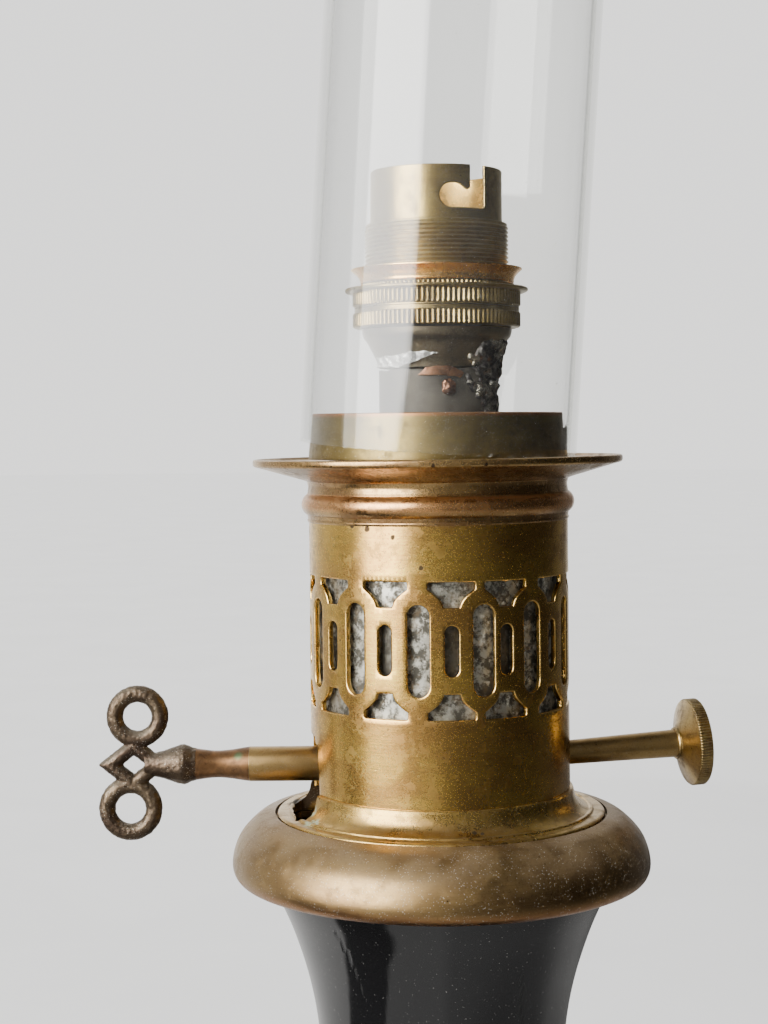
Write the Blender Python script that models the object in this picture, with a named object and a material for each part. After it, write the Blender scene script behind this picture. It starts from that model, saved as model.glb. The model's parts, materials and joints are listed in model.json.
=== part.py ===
"""Moderator oil lamp converted to electricity, modelled as it comes apart on a bench.

The lamp stands on the table at z = 0 with its axis on +Z. The front is -Y, the winding key points to -X
and the wick knob to +X. Dimensions are in millimetres and are turned into metres by MM where a mesh is made.
"""

import math

import bmesh
import bpy
from mathutils import Matrix, Vector

MM = 0.001
TAU = 2 * math.pi
MERGE = 1e-6  # metres
GAP = 0.3  # room left between pieces that touch on the real lamp

# Facets of round pieces
LARGE, MEDIUM, SMALL, TINY = 24, 18, 12, 8

# Foot
PAD_R, PAD_TOP = 69.5, 2.0
FOOT_R, PLINTH_TOP, FOOT_WAIST_R, FOOT_TOP = 70.0, 13.5, 52.0, 38.0
FOOT_WALL = 1.6
STUD_R, NUT_ACROSS = 4.0, 16.0
BUSH_Z, BUSH_BORE_R = 8.0, 2.6

# Vase
VASE_SEAT, VASE_SEAT_R = FOOT_TOP + GAP, 48.5
VASE_WAIST_Z, VASE_WAIST_R, VASE_WAIST_BEND = 252.7, 23.1, 0.0070
VASE_MOUTH_Z, VASE_MOUTH_R = 297.0, 33.6
VASE_WALL = 3.4
VASE_OPENING_R = 42.5

# Collar and gallery
COLLAR_BOTTOM, COLLAR_TOP, COLLAR_R = 290.0, 302.2, 39.9
PLATE_R, PLATE_BOTTOM, PLATE_TOP = 31.6, 301.3, 302.5
BODY_R, BODY_WALL, BODY_TOP = 24.6, 1.2, 358.0
BODY_STEP_Z, BODY_STEP_R = 306.6, 25.4
RIM_R, RIM_TOP, SEAT_Z = 35.3, 369.9, 369.2

# Pierced pattern of the gallery body
REPEATS = 13
LARGE_SLOT_ANGLE = -10.3  # degrees from the front, towards +X
PATTERN_Z = 335.35
LARGE_SLOT = (4.33, 16.7)  # width, height
SMALL_SLOT = (2.9, 9.2)
KEY_SLOT_HALF, KEY_SLOT_TOP = 7.6, 315.7
KITE_WIDE, KITE_NARROW, KITE_SIDE, KITE_OUT, KITE_IN = 9.0, 3.0, 1.3, 12.35, 7.75

# Chimney
GLASS_R, GLASS_WALL, GLASS_LENGTH = 26.5, 1.25, 260.0
GLASS_FOOT_Z = 371.45
LEAN_RIGHT, LEAN_FRONT = math.radians(3.65), math.radians(2.0)

# Winding key, its rack and the piston
KEY_Z = 311.1
KEY_MODULE, KEY_TEETH = 0.8, 10
KEY_PITCH_R = KEY_MODULE * KEY_TEETH / 2
PISTON_Z = 46.0
RACK_X = (-15.5, -12.5)
RACK_BACK_Y = 7.0
RACK_TOP = 318.0
ARBOR_R = 1.6
KEY_RING_X, KEY_RING_REACH, KEY_RING_HOLE = -58.6, 6.6, 2.2
LOOP_WIRE_R = 1.45
DIAMOND_HALF = 1.5  # half the thickness of the diamond between the loops
KEY_LOOPS = ((9.5, 4.3, 0.4), (-8.4, 4.45, -0.7))  # height from the key's axis, radius, place along X

# Wick knob, its pinion and rack
WICK_Z = 312.0  # where the shaft crosses the body wall
WICK_AZIMUTH, WICK_RISE = math.radians(10.0), math.radians(2.5)
WICK_MODULE, WICK_TEETH = 0.5, 10
WICK_PITCH_R = WICK_MODULE * WICK_TEETH / 2
WICK_RACK_U = (7.6, 9.2)
KNOB_R, KNOB_FACE = 8.4, 52.3  # outer face, along the shaft

# Burner
OUTER_TUBE_R, INNER_TUBE_R = 11.25, 7.2
OUTER_TUBE_TOP, INNER_TUBE_TOP = 386.5, 380.0
TUBE_BOTTOM = 295.5

# Reservoir
CAN_R, CAN_BOTTOM, CAN_SHOULDER = 40.0, 40.4, 168.0
NECK_R, NECK_TOP = 18.2, 299.3
LID_Z = 282.5
TIN_WALL = 0.8
RISER_R, STANDPIPE_R, NEEDLE_R = 2.6, 3.6, 0.8

# Lampholder
BARREL_R, BARREL_BORE_R, BARREL_BOTTOM, BARREL_TOP = 12.7, 11.3, 398.2, 424.3
THREAD_R, THREAD_TOP = 13.9, 414.0
UNION_R, UNION_BOTTOM, UNION_TOP = 16.05, 394.4, 397.9
HOOK_ANGLES = (-0.5, 28.6, 42.0)  # far end of the leg, then both sides of the entry, degrees from the front
HOOK_DEEP, HOOK_LEG = 7.8, 4.8
PLUNGER_X, PLUNGER_R, PLUNGER_TOP = 4.2, 1.9, 414.0
BLOCK_BOTTOM, BLOCK_TOP = 398.6, 409.0


# Materials


def material(name, color, roughness, metallic, alpha=1.0):
    made = bpy.data.materials.new(name)
    made.use_nodes = True
    shader = made.node_tree.nodes["Principled BSDF"]
    shader.inputs["Base Color"].default_value = (*color, 1.0)
    shader.inputs["Roughness"].default_value = roughness
    shader.inputs["Metallic"].default_value = metallic
    shader.inputs["Alpha"].default_value = alpha
    made.diffuse_color = (*color, alpha)
    return made


# Mesh helpers


def turn(angle, axis):
    return Matrix.Rotation(angle, 4, axis)


def shift(x, y, z):
    return Matrix.Translation((x * MM, y * MM, z * MM))


def add_object(name, bm, finish, matrix=None):
    """Closes a bmesh into a named object, with round faces shaded smooth."""
    bmesh.ops.remove_doubles(bm, verts=bm.verts, dist=MERGE)
    bmesh.ops.recalc_face_normals(bm, faces=bm.faces)
    mesh = bpy.data.meshes.new(name)
    bm.to_mesh(mesh)
    bm.free()
    if finish:
        mesh.materials.append(finish)
    mesh.shade_smooth()
    mesh.set_sharp_from_angle(angle=math.radians(35))
    obj = bpy.data.objects.new(name, mesh)
    bpy.context.scene.collection.objects.link(obj)
    if matrix:
        obj.matrix_world = matrix
    return obj


def turned_bmesh(outline, steps, angle=TAU):
    """Spins a closed outline of (radius, height) points about Z. Points at radius 0 close on the axis."""
    bm = bmesh.new()
    verts = [bm.verts.new((r * MM, 0, z * MM)) for r, z in outline]
    edges = []
    for first, second in zip(verts, verts[1:] + verts[:1]):
        if first.co.x > 0 or second.co.x > 0:
            edges.append(bm.edges.new((first, second)))
    bmesh.ops.spin(bm, geom=verts + edges, cent=(0, 0, 0), axis=(0, 0, 1), angle=angle, steps=steps)
    bmesh.ops.remove_doubles(bm, verts=bm.verts, dist=MERGE)
    open_edges = [edge for edge in bm.edges if edge.is_boundary]
    if open_edges:
        bmesh.ops.holes_fill(bm, edges=open_edges)
    return bm


def turned(name, outline, finish, steps=LARGE, matrix=None):
    return add_object(name, turned_bmesh(outline, steps), finish, matrix)


def tube(name, outer, inner, low, high, finish, steps=MEDIUM, matrix=None):
    return turned(name, [(inner, low), (outer, low), (outer, high), (inner, high)], finish, steps, matrix)


def disc(name, radius, low, high, finish, steps=MEDIUM, matrix=None):
    return turned(name, [(0, low), (radius, low), (radius, high), (0, high)], finish, steps, matrix)


def prism(name, outline, low, high, finish, matrix=None):
    """Prism over a flat outline of (x, y) points, from z low to z high."""
    bm = bmesh.new()
    rings = [[bm.verts.new((x * MM, y * MM, z * MM)) for x, y in outline] for z in (low, high)]
    bm.faces.new(rings[0])
    bm.faces.new(rings[1])
    for i in range(len(outline)):
        j = (i + 1) % len(outline)
        bm.faces.new((rings[0][i], rings[0][j], rings[1][j], rings[1][i]))
    return add_object(name, bm, finish, matrix)


def box(name, low, high, finish):
    outline = [(low[0], low[1]), (high[0], low[1]), (high[0], high[1]), (low[0], high[1])]
    return prism(name, outline, low[2], high[2], finish)


def swept_bmesh(points, radius, sides, bore=0.0):
    """A round bar, or a pipe with a bore, along a list of points."""
    points = [Vector(point) * MM for point in points]
    bm = bmesh.new()
    normal = None
    rings = []
    for i, point in enumerate(points):
        ahead = points[min(i + 1, len(points) - 1)]
        behind = points[max(i - 1, 0)]
        tangent = (ahead - behind).normalized()
        if normal is None:
            normal = tangent.orthogonal()
        normal = (normal - tangent * normal.dot(tangent)).normalized()
        side = tangent.cross(normal)
        spokes = [
            normal * math.cos(TAU * k / sides) + side * math.sin(TAU * k / sides)
            for k in range(sides)
        ]
        rings.append([
            [bm.verts.new(point + spoke * r * MM) for spoke in spokes]
            for r in ((radius, bore) if bore else (radius,))
        ])
    for layer in range(len(rings[0])):
        for first, second in zip(rings, rings[1:]):
            for k in range(sides):
                j = (k + 1) % sides
                bm.faces.new((first[layer][k], first[layer][j], second[layer][j], second[layer][k]))
    for end in (rings[0], rings[-1]):
        if not bore:
            bm.faces.new(end[0])
            continue
        for k in range(sides):
            j = (k + 1) % sides
            bm.faces.new((end[0][k], end[0][j], end[1][j], end[1][k]))
    return bm


def swept(name, points, radius, sides, finish, bore=0.0):
    return add_object(name, swept_bmesh(points, radius, sides, bore), finish)


def helix(centre_x, radius, low, high, turns, steps):
    points = []
    for i in range(int(turns * steps) + 1):
        angle = TAU * i / steps
        height = low + (high - low) * i / (turns * steps)
        points.append((centre_x + radius * math.cos(angle), radius * math.sin(angle), height))
    return points


def arc(cx, cy, radius, start, end, steps):
    """Points on an arc, by angles in degrees."""
    points = []
    for i in range(steps + 1):
        angle = math.radians(start + (end - start) * i / steps)
        points.append((cx + radius * math.cos(angle), cy + radius * math.sin(angle)))
    return points


def hexagon(across_flats):
    return arc(0, 0, across_flats / math.sqrt(3), 0, 300, 5)


# Booleans


def as_cutter(obj):
    obj.hide_render = True
    obj.display_type = "WIRE"
    return obj


def combine(obj, other, operation):
    modifier = obj.modifiers.new(operation.title(), "BOOLEAN")
    modifier.operation = operation
    modifier.solver = "EXACT"
    modifier.object = as_cutter(other)


def cut(obj, other):
    combine(obj, other, "DIFFERENCE")


def join(obj, other):
    combine(obj, other, "UNION")


def wrapped_cutter(name, outlines, inner, outer):
    """Prisms whose outlines are (degrees from the front towards +X, height), from radius inner to outer."""
    bm = bmesh.new()
    for outline in outlines:
        rings = []
        for radius in (inner, outer):
            ring = []
            for degrees, z in outline:
                angle = math.radians(degrees)
                place = (radius * math.sin(angle) * MM, -radius * math.cos(angle) * MM, z * MM)
                ring.append(bm.verts.new(place))
            rings.append(ring)
        bm.faces.new(rings[0])
        bm.faces.new(rings[1])
        for i in range(len(outline)):
            j = (i + 1) % len(outline)
            bm.faces.new((rings[0][i], rings[0][j], rings[1][j], rings[1][i]))
    return add_object(name, bm, None)


# Gears


def tooth_half_width(module):
    backlash = 0.12
    return math.pi * module / 4 - backlash


def pinion_outline(module, teeth):
    """Straight-sided teeth, one of them centred on +Y."""
    pitch_r = module * teeth / 2
    half = tooth_half_width(module)
    flank = ((pitch_r - 1.15 * module, half), (pitch_r, half), (pitch_r + 0.9 * module, 0.4 * half))
    points = []
    for i in range(teeth):
        centre = math.pi / 2 + TAU * i / teeth
        for radius, width in flank:
            points.append((radius, centre - width / radius))
        for radius, width in reversed(flank):
            points.append((radius, centre + width / radius))
    return [(radius * math.cos(angle), radius * math.sin(angle)) for radius, angle in points]


def rack_outline(module, pitch_y, back_y, mesh_z, low, high, teeth_low):
    """(y, z) outline of a rack whose teeth point to -Y, with a gap centred on mesh_z."""
    pitch = math.pi * module
    half = tooth_half_width(module)
    slope = math.tan(math.radians(20))
    root, tip = 1.15 * module, 0.85 * module
    first = math.ceil((teeth_low + pitch - mesh_z) / pitch)
    last = math.floor((high - pitch - mesh_z) / pitch)
    points = [(back_y, high), (back_y, low), (pitch_y + root, low)]
    for k in range(first, last):
        centre = mesh_z + (k + 0.5) * pitch
        points.append((pitch_y + root, centre - half - root * slope))
        points.append((pitch_y - tip, centre - half + tip * slope))
        points.append((pitch_y - tip, centre + half - tip * slope))
        points.append((pitch_y + root, centre + half + root * slope))
    points.append((pitch_y + root, high))
    return points


# Foot


def build_foot(brass, felt, steel, rubber):
    disc("base_pad", PAD_R, 0, PAD_TOP, felt, LARGE)
    wall = FOOT_WALL
    low = PAD_TOP + GAP
    shell = turned("foot_shell", [
        (FOOT_R, low), (FOOT_R, PLINTH_TOP), (67.0, 15.5), (59.5, 20.0), (54.2, 27.0), (FOOT_WAIST_R, 33.0),
        (52.8, FOOT_TOP), (STUD_R + 0.4, FOOT_TOP), (STUD_R + 0.4, FOOT_TOP - 2), (50.6, FOOT_TOP - 2),
        (50.4, 32.6), (52.8, 26.4), (58.5, 18.8), (65.5, 14.5), (FOOT_R - wall, PLINTH_TOP - 1), (FOOT_R - wall, low),
    ], brass)
    along_y = shift(0, 0, BUSH_Z) @ turn(-math.pi / 2, "X")
    cut(shell, disc("cable_hole_cutter", 3.6, 60, 80, None, SMALL, along_y))
    turned("cable_bush", [
        (BUSH_BORE_R, 65.0), (3.2, 65.0), (3.2, 70.4), (5.0, 70.4), (4.4, 72.0), (BUSH_BORE_R, 72.0),
    ], rubber, SMALL, along_y)
    disc("foot_stud", STUD_R, 24.0, VASE_SEAT - GAP, steel, SMALL)
    nut = prism("foot_nut", hexagon(NUT_ACROSS), 28.0, FOOT_TOP - 2 - GAP, steel)
    cut(nut, disc("foot_nut_cutter", STUD_R + GAP, 20, 45, None, SMALL))


# Vase


def waist_radius(z):
    """The vase's neck opens out with a nearly constant curvature on both sides of its waist."""
    return VASE_WAIST_R + VASE_WAIST_BEND * (z - VASE_WAIST_Z) ** 2


def build_vase(glaze):
    belly = [(VASE_SEAT_R, VASE_SEAT), (50.5, 54.0), (57.5, 88.0), (63.8, 122.0), (66.2, 148.0), (63.5, 174.0),
             (52.0, 200.0), (38.5, 217.0)]
    neck = [(waist_radius(z), z) for z in (236.0, 252.7, 267.0, 278.0, 287.0)]
    mouth = [(VASE_MOUTH_R - 0.6, 291.5), (VASE_MOUTH_R, VASE_MOUTH_Z)]
    outside = belly + neck + mouth
    inside = [(29.5, VASE_MOUTH_Z), (waist_radius(280.0) - VASE_WALL, 280.0), (19.2, 262.0), (19.2, 248.0),
              (23.5, 233.0), (47.5, 198.0), (60.5, 170.0), (62.5, 148.0), (53.5, 88.0), (VASE_OPENING_R, 44.0),
              (VASE_OPENING_R, VASE_SEAT)]
    turned("vase", outside + inside, glaze)


# Oil reservoir, inside the vase


def build_reservoir(tin, steel):
    turned("reservoir_base", [
        (0, VASE_SEAT), (41.5, VASE_SEAT), (41.5, CAN_BOTTOM - GAP), (0, CAN_BOTTOM - GAP),
    ], tin)
    inside, neck_inside = CAN_R - TIN_WALL, NECK_R - TIN_WALL
    turned("reservoir_can", [
        (CAN_R, CAN_BOTTOM), (CAN_R, CAN_SHOULDER), (NECK_R + 2.5, 196.0), (neck_inside, 197.5),
        (neck_inside, 196.2), (NECK_R + 1.6, 195.0), (inside, CAN_SHOULDER - 0.6), (inside, CAN_BOTTOM),
    ], tin, MEDIUM)
    tube("reservoir_neck", NECK_R, neck_inside, 197.8, NECK_TOP, tin)
    tube("neck_clamp_ring", 25.0, NECK_R + GAP, 295.6, 299.4, steel)
    lid = tube("reservoir_lid", neck_inside - GAP, 4.0, LID_Z, LID_Z + 1.5, tin)
    slot_low = (RACK_X[0] - 0.4, 2.6, LID_Z - 5)
    slot_high = (RACK_X[1] + 0.4, RACK_BACK_Y + 0.4, LID_Z + 5)
    cut(lid, box("lid_slot_cutter", slot_low, slot_high, None))


def build_oil_path(tin, brass):
    """Riser tube on the piston, standpipe round it, and the pipe that takes the oil up to the burner."""
    tube("riser_tube", RISER_R, 1.8, 42.0, 222.0, brass, TINY)
    tube("standpipe", STANDPIPE_R, RISER_R + 0.45, 214.0, LID_Z + 1.2, tin, TINY)
    head = turned("standpipe_head", [
        (2.2, 284.3), (5.2, 284.3), (5.2, 291.0), (0, 291.0), (0, 289.5), (2.2, 289.5),
    ], brass, SMALL)
    outlet = shift(0, 0, 287.6) @ turn(-math.pi / 2, "X")
    cut(head, disc("outlet_cutter", 1.1, 1, 8, None, TINY, outlet))
    bend = [(0, 5.6, 287.6), (0, 7.2, 287.7), (0, 8.5, 288.6), (0, 9.0, 290.4), (0, 9.0, 293.5)]
    swept("oil_feed_tube", bend, 1.6, TINY, tin, bore=1.0)
    disc("moderator_needle", NEEDLE_R, 150.0, 289.2, brass, TINY)


# Piston


def build_piston(brass, leather, steel):
    passage = RISER_R + GAP
    tube("piston_washer", 33.5, passage, PISTON_Z - 3.4, PISTON_Z - 2.2, brass)
    turned("piston_leather", [
        (passage, PISTON_Z - 1.9), (38.6, PISTON_Z - 1.9), (38.8, PISTON_Z + 7), (37.2, PISTON_Z + 7),
        (37.0, PISTON_Z - 0.3), (passage, PISTON_Z - 0.3),
    ], leather, MEDIUM)
    tube("piston_plate", 36.6, passage, PISTON_Z, PISTON_Z + 2.5, brass)
    nut = prism("piston_nut", hexagon(9.0), PISTON_Z + 2.8, PISTON_Z + 6.5, brass)
    cut(nut, disc("piston_nut_cutter", passage, 40, 60, None, TINY))
    wire = 1.1
    spring_low = PISTON_Z + 2.8 + wire
    spring_high = CAN_SHOULDER - 4.0 - wire
    swept("piston_spring", helix(0, 30.0, spring_low, spring_high, 5, 12), wire, 5, steel)
    outline = rack_outline(KEY_MODULE, KEY_PITCH_R, RACK_BACK_Y, KEY_Z, PISTON_Z + 2.8, RACK_TOP, 248.0)
    # The outline is drawn in X and Y, then stood up: X becomes Y, Y becomes Z and the thickness runs along X.
    upright = Matrix(((0, 0, 1, 0), (1, 0, 0, 0), (0, 1, 0, 0), (0, 0, 0, 1)))
    prism("piston_rack", outline, RACK_X[0], RACK_X[1], brass, upright)


# Collar and gallery


def build_collar(brass, cork):
    turned("collar", [
        (32.1, COLLAR_TOP), (36.4, 299.6), (39.1, 296.4), (COLLAR_R, 293.4), (COLLAR_R - 0.1, 291.6),
        (39.2, 290.4), (38.2, COLLAR_BOTTOM), (36.6, 290.5), (37.5, 292.6), (36.8, 295.8), (33.8, 299.8),
        (20.0, 299.8), (20.0, 301.0), (31.9, 301.0), (31.9, COLLAR_TOP),
    ], brass)
    tube("collar_gasket", 33.0, 30.0, VASE_MOUTH_Z + GAP, 299.5, cork, LARGE)


def slot_outline(degrees, z, width, height, radius):
    """Upright slot with round ends on a cylinder, as (degrees, height) points."""
    half = width / 2
    straight = height / 2 - half
    flat = arc(0, straight, half, 0, 180, 3) + arc(0, -straight, half, 180, 360, 3)
    return [(degrees + math.degrees(x / radius), z + y) for x, y in flat]


def kite_outline(degrees, z, side, radius):
    """Opening above (side 1) or below (side -1) a small slot: wide outside, its flanks hollowed by arcs."""
    reach = KITE_OUT - KITE_SIDE
    flank = []
    for part in (0.0, 0.5, 1.0):
        hollow = 0.55 * math.sin(math.pi * part)
        x = KITE_WIDE / 2 + (KITE_NARROW - KITE_WIDE) / 2 * part - hollow
        flank.append((x, reach + (KITE_IN - reach) * part))
    flat = [(KITE_WIDE / 2, KITE_OUT)] + flank
    flat += [(-x, y) for x, y in reversed(flat)]
    return [(degrees + math.degrees(x / radius), z + side * y) for x, y in flat]


def build_gallery(brass, tin):
    inner = BODY_R - BODY_WALL
    body = turned("gallery_body", [
        (BODY_R, BODY_TOP), (BODY_R, BODY_STEP_Z), (BODY_STEP_R, BODY_STEP_Z - 0.2), (25.7, 305.0), (26.6, 303.6),
        (28.0, 302.7), (PLATE_R, PLATE_TOP), (PLATE_R, PLATE_BOTTOM), (19.6, PLATE_BOTTOM), (19.6, PLATE_TOP),
        (inner, PLATE_TOP), (inner, BODY_TOP),
    ], brass)
    outlines = []
    for i in range(REPEATS):
        turned_by = LARGE_SLOT_ANGLE + 360 * i / REPEATS
        between = turned_by + 180 / REPEATS
        outlines.append(slot_outline(turned_by, PATTERN_Z, *LARGE_SLOT, BODY_R))
        outlines.append(slot_outline(between, PATTERN_Z, *SMALL_SLOT, BODY_R))
        outlines.append(kite_outline(between, PATTERN_Z, 1, BODY_R))
        outlines.append(kite_outline(between, PATTERN_Z, -1, BODY_R))
    cut(body, wrapped_cutter("fretwork_cutter", outlines, inner - 4, BODY_R + 4))
    key_slot_high = (-22.7, KEY_SLOT_HALF, KEY_SLOT_TOP)
    cut(body, box("key_slot_cutter", (-45, -KEY_SLOT_HALF, 295), key_slot_high, None))
    cut(body, disc("wick_hole_cutter", 2.9, 18, 30, None, SMALL, wick_axis()))
    turned("gallery_flange", [
        (24.9, BODY_TOP + GAP), (25.6, 359.2), (25.9, 361.2), (25.5, 362.8), (24.9, 363.5), (24.9, 365.5),
        (34.9, 368.2), (RIM_R, 368.7), (RIM_R, 369.6), (34.9, RIM_TOP), (34.3, RIM_TOP), (33.9, SEAT_Z),
        (inner, SEAT_Z), (inner, BODY_TOP + GAP),
    ], brass)
    seat_foot = SEAT_Z + GAP
    turned("chimney_seat_ring", [
        (24.85, seat_foot), (24.2, 378.2), (23.6, 378.2), (24.25, seat_foot),
    ], tin)
    tube("inner_sleeve", inner - GAP, inner - 0.9, 316.5, BODY_TOP - 0.4, tin, LARGE)


def chimney_matrix():
    """The glass leans to the right and to the front, standing on the lowest point of its foot."""
    axis = Vector((math.tan(LEAN_RIGHT), -math.tan(LEAN_FRONT), 1)).normalized()
    return shift(0, 0, GLASS_FOOT_Z) @ axis.to_track_quat("Z", "Y").to_matrix().to_4x4()


def build_chimney(glass):
    tube("chimney", GLASS_R, GLASS_R - GLASS_WALL, 0, GLASS_LENGTH, glass, LARGE, chimney_matrix())


# Burner and wick


def wick_axis():
    """Placement whose Z runs out along the wick shaft, from the lamp's axis; its X is level."""
    outwards = Vector((
        math.cos(WICK_AZIMUTH) * math.cos(WICK_RISE),
        math.sin(WICK_AZIMUTH) * math.cos(WICK_RISE),
        math.sin(WICK_RISE),
    ))
    level = Vector((math.sin(WICK_AZIMUTH), -math.cos(WICK_AZIMUTH), 0))
    downwards = outwards.cross(level)
    axis_z = WICK_Z - BODY_R * math.tan(WICK_RISE)
    placed = Matrix((level, downwards, outwards)).transposed().to_4x4()
    return shift(0, 0, axis_z) @ placed


def build_burner(brass, tin):
    outer = tube("burner_outer_tube", OUTER_TUBE_R, OUTER_TUBE_R - 0.65, TUBE_BOTTOM, OUTER_TUBE_TOP, tin)
    cut(outer, disc("burner_hole_cutter", 1.95, 9, 14, None, TINY, wick_axis()))
    tube("burner_inner_tube", INNER_TUBE_R, INNER_TUBE_R - 0.5, TUBE_BOTTOM, INNER_TUBE_TOP, tin)
    base = tube("burner_base", OUTER_TUBE_R, INNER_TUBE_R - 0.5, TUBE_BOTTOM - 1.7, TUBE_BOTTOM - GAP, brass)
    cut(base, disc("feed_cutter", 1.1, 290, 300, None, TINY, shift(0, 9, 0)))
    spider = tube("burner_spider", OUTER_TUBE_R + 1.2, OUTER_TUBE_R + GAP, TUBE_BOTTOM + 0.5, TUBE_BOTTOM + 2.5, brass)
    for degrees in (90, 210, 330):
        arm = box(f"spider_arm_{degrees}", (12.0, -1.5, TUBE_BOTTOM + 0.6), (16.9, 1.5, TUBE_BOTTOM + 2.4), None)
        arm.matrix_world = turn(math.radians(degrees), "Z")
        join(spider, arm)
    tube("wick_carrier", 10.2, 7.7, 318.0, 324.0, brass)


def build_wick_drive(brass, steel):
    axis = wick_axis()
    pinion = prism("wick_pinion", pinion_outline(WICK_MODULE, WICK_TEETH), 7.7, 9.3, brass, axis)
    pinion.matrix_world = axis @ turn(-math.pi / 2, "Z")
    cut(pinion, disc("wick_pinion_cutter", 1.15, 5, 12, None, TINY, axis))
    turned("wick_shaft", [
        (0, 7.5), (0.85, 7.5), (0.85, 9.8), (1.5, 10.0), (1.5, 16.6), (2.3, 16.9), (2.3, 25.0), (2.7, 47.2),
        (0, 47.2),
    ], steel, SMALL, axis)
    tube("wick_bush", 3.6, 2.4, 17.5, 22.5, brass, SMALL, axis)
    turned("wick_knob", [
        (0, KNOB_FACE - 4.5), (2.9, KNOB_FACE - 4.4), (7.8, KNOB_FACE - 2.2), (KNOB_R, KNOB_FACE - 1.9),
        (KNOB_R, KNOB_FACE - 0.3), (8.0, KNOB_FACE), (7.0, KNOB_FACE), (5.5, KNOB_FACE - 0.4), (0, KNOB_FACE - 0.4),
    ], brass, LARGE, axis)
    mesh_z = axis.translation.z / MM + 8.4 * math.tan(WICK_RISE)
    low = TUBE_BOTTOM + 0.8
    outline = rack_outline(WICK_MODULE, WICK_PITCH_R, WICK_PITCH_R + 1.7, mesh_z, low, 317.7, low - 1)
    # Stood up as the piston rack is, then turned so that its thickness runs along the shaft in plan and
    # its teeth face the shaft from the front.
    u_low, u_high = WICK_RACK_U
    upright = Matrix(((0, 0, 1, 0), (-1, 0, 0, 0), (0, 1, 0, 0), (0, 0, 0, 1)))
    prism("wick_rack", outline, u_low, u_high, brass, turn(WICK_AZIMUTH, "Z") @ upright)


# Winding key


def build_key(brass, cast, steel):
    along_x = shift(0, 0, KEY_Z) @ turn(math.pi / 2, "Y")
    tube("key_sleeve", 3.16, ARBOR_R + 0.35, -36.6, -23.0, brass, SMALL, along_x)
    disc("key_arbor", ARBOR_R, -36.2, -12.1, steel, SMALL, along_x)
    pinion = prism("winding_pinion", pinion_outline(KEY_MODULE, KEY_TEETH), -15.8, -12.3, brass, along_x)
    cut(pinion, disc("winding_pinion_cutter", ARBOR_R + GAP, -20, -8, None, TINY, along_x))
    handle = turned("key_handle", [
        (0, -36.9), (3.05, -36.9), (3.05, -38.2), (2.46, -41.4), (2.8, -44.5), (3.57, -48.7), (2.6, -51.5),
        (1.6, -53.5), (1.5, -56.0), (0, -56.0),
    ][::-1], cast, SMALL, along_x)
    facing_front = shift(KEY_RING_X, 0, KEY_Z) @ turn(math.pi / 2, "X")
    corners = arc(0, 0, KEY_RING_REACH, 0, 270, 3)
    join(handle, prism("key_diamond", corners, -DIAMOND_HALF, DIAMOND_HALF, None, facing_front))
    for height, radius, across in KEY_LOOPS:
        loop = turned_bmesh([(radius + x, y) for x, y in arc(0, 0, LOOP_WIRE_R, 0, 300, 5)], SMALL)
        placed = shift(KEY_RING_X + across, 0, KEY_Z + height) @ turn(math.pi / 2, "X")
        join(handle, add_object(f"key_loop_at_{height:+.0f}", loop, None, placed))
    cut(handle, disc("key_ring_cutter", KEY_RING_HOLE, -5, 5, None, TINY, facing_front))


def build_arbor_bearing(brass, steel):
    foot_z = PLATE_TOP + GAP
    bearing = box("arbor_bearing", (-21.0, -8.6, foot_z), (-17.8, 8.6, foot_z + 1.6), brass)
    join(bearing, box("bearing_post", (-20.6, -4.0, foot_z + 0.1), (-18.2, 4.0, KEY_Z + 4), None))
    along_x = shift(0, 0, KEY_Z) @ turn(math.pi / 2, "Y")
    cut(bearing, disc("bearing_cutter", ARBOR_R + 0.12, -30, -10, None, MEDIUM, along_x))
    for side, label in ((-1, "front"), (1, "back")):
        place = shift(-19.4, side * 6.6, 0)
        cut(bearing, disc(f"bearing_hole_{label}", 1.1, foot_z - 3, foot_z + 3, None, TINY, place))
        turned(f"bearing_screw_{label}", [
            (0, foot_z + 0.2), (0.8, foot_z + 0.2), (0.8, foot_z + 1.9), (1.7, foot_z + 1.9),
            (1.5, foot_z + 2.9), (0, foot_z + 3.1),
        ], steel, TINY, place)


# Lampholder


def build_lampholder_shell(brass):
    turned("lampholder_cap", [
        (11.3, OUTER_TUBE_TOP + GAP), (12.3, 388.0), (13.8, 390.6), (14.5, 394.1), (13.7, 394.1), (12.9, 390.9),
        (11.5, 388.6), (10.6, 387.4), (10.6, OUTER_TUBE_TOP + GAP),
    ], brass, MEDIUM)
    turned("union_ring", [
        (14.2, UNION_BOTTOM), (15.6, UNION_BOTTOM), (UNION_R, 394.8), (UNION_R, 397.0), (15.4, 397.3),
        (15.2, UNION_TOP), (14.2, UNION_TOP),
    ], brass)
    barrel = turned("lampholder_barrel", [
        (BARREL_BORE_R, BARREL_TOP), (BARREL_R, BARREL_TOP), (BARREL_R, THREAD_TOP + 0.2),
        (THREAD_R, THREAD_TOP - 0.5), (THREAD_R, BARREL_BOTTOM), (BARREL_BORE_R, BARREL_BOTTOM),
    ][::-1], brass)
    far, near, end = HOOK_ANGLES
    floor_z = BARREL_TOP - HOOK_DEEP
    leg_top = floor_z + HOOK_LEG
    outlines = []
    for half_turn in (0, 180):
        flat = [(far, floor_z + 1), (far, leg_top - 1), (far + 5, leg_top), (near - 3, leg_top),
                (near - 3, leg_top - 1.3), (near, leg_top - 1.3), (near, BARREL_TOP + 5), (end, BARREL_TOP + 5),
                (end, floor_z + 1.2), (end - 6, floor_z), (far + 5, floor_z)]
        outlines.append([(degrees + half_turn, z) for degrees, z in flat])
    cut(barrel, wrapped_cutter("bayonet_cutter", outlines, 9.5, 15.0))


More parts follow.
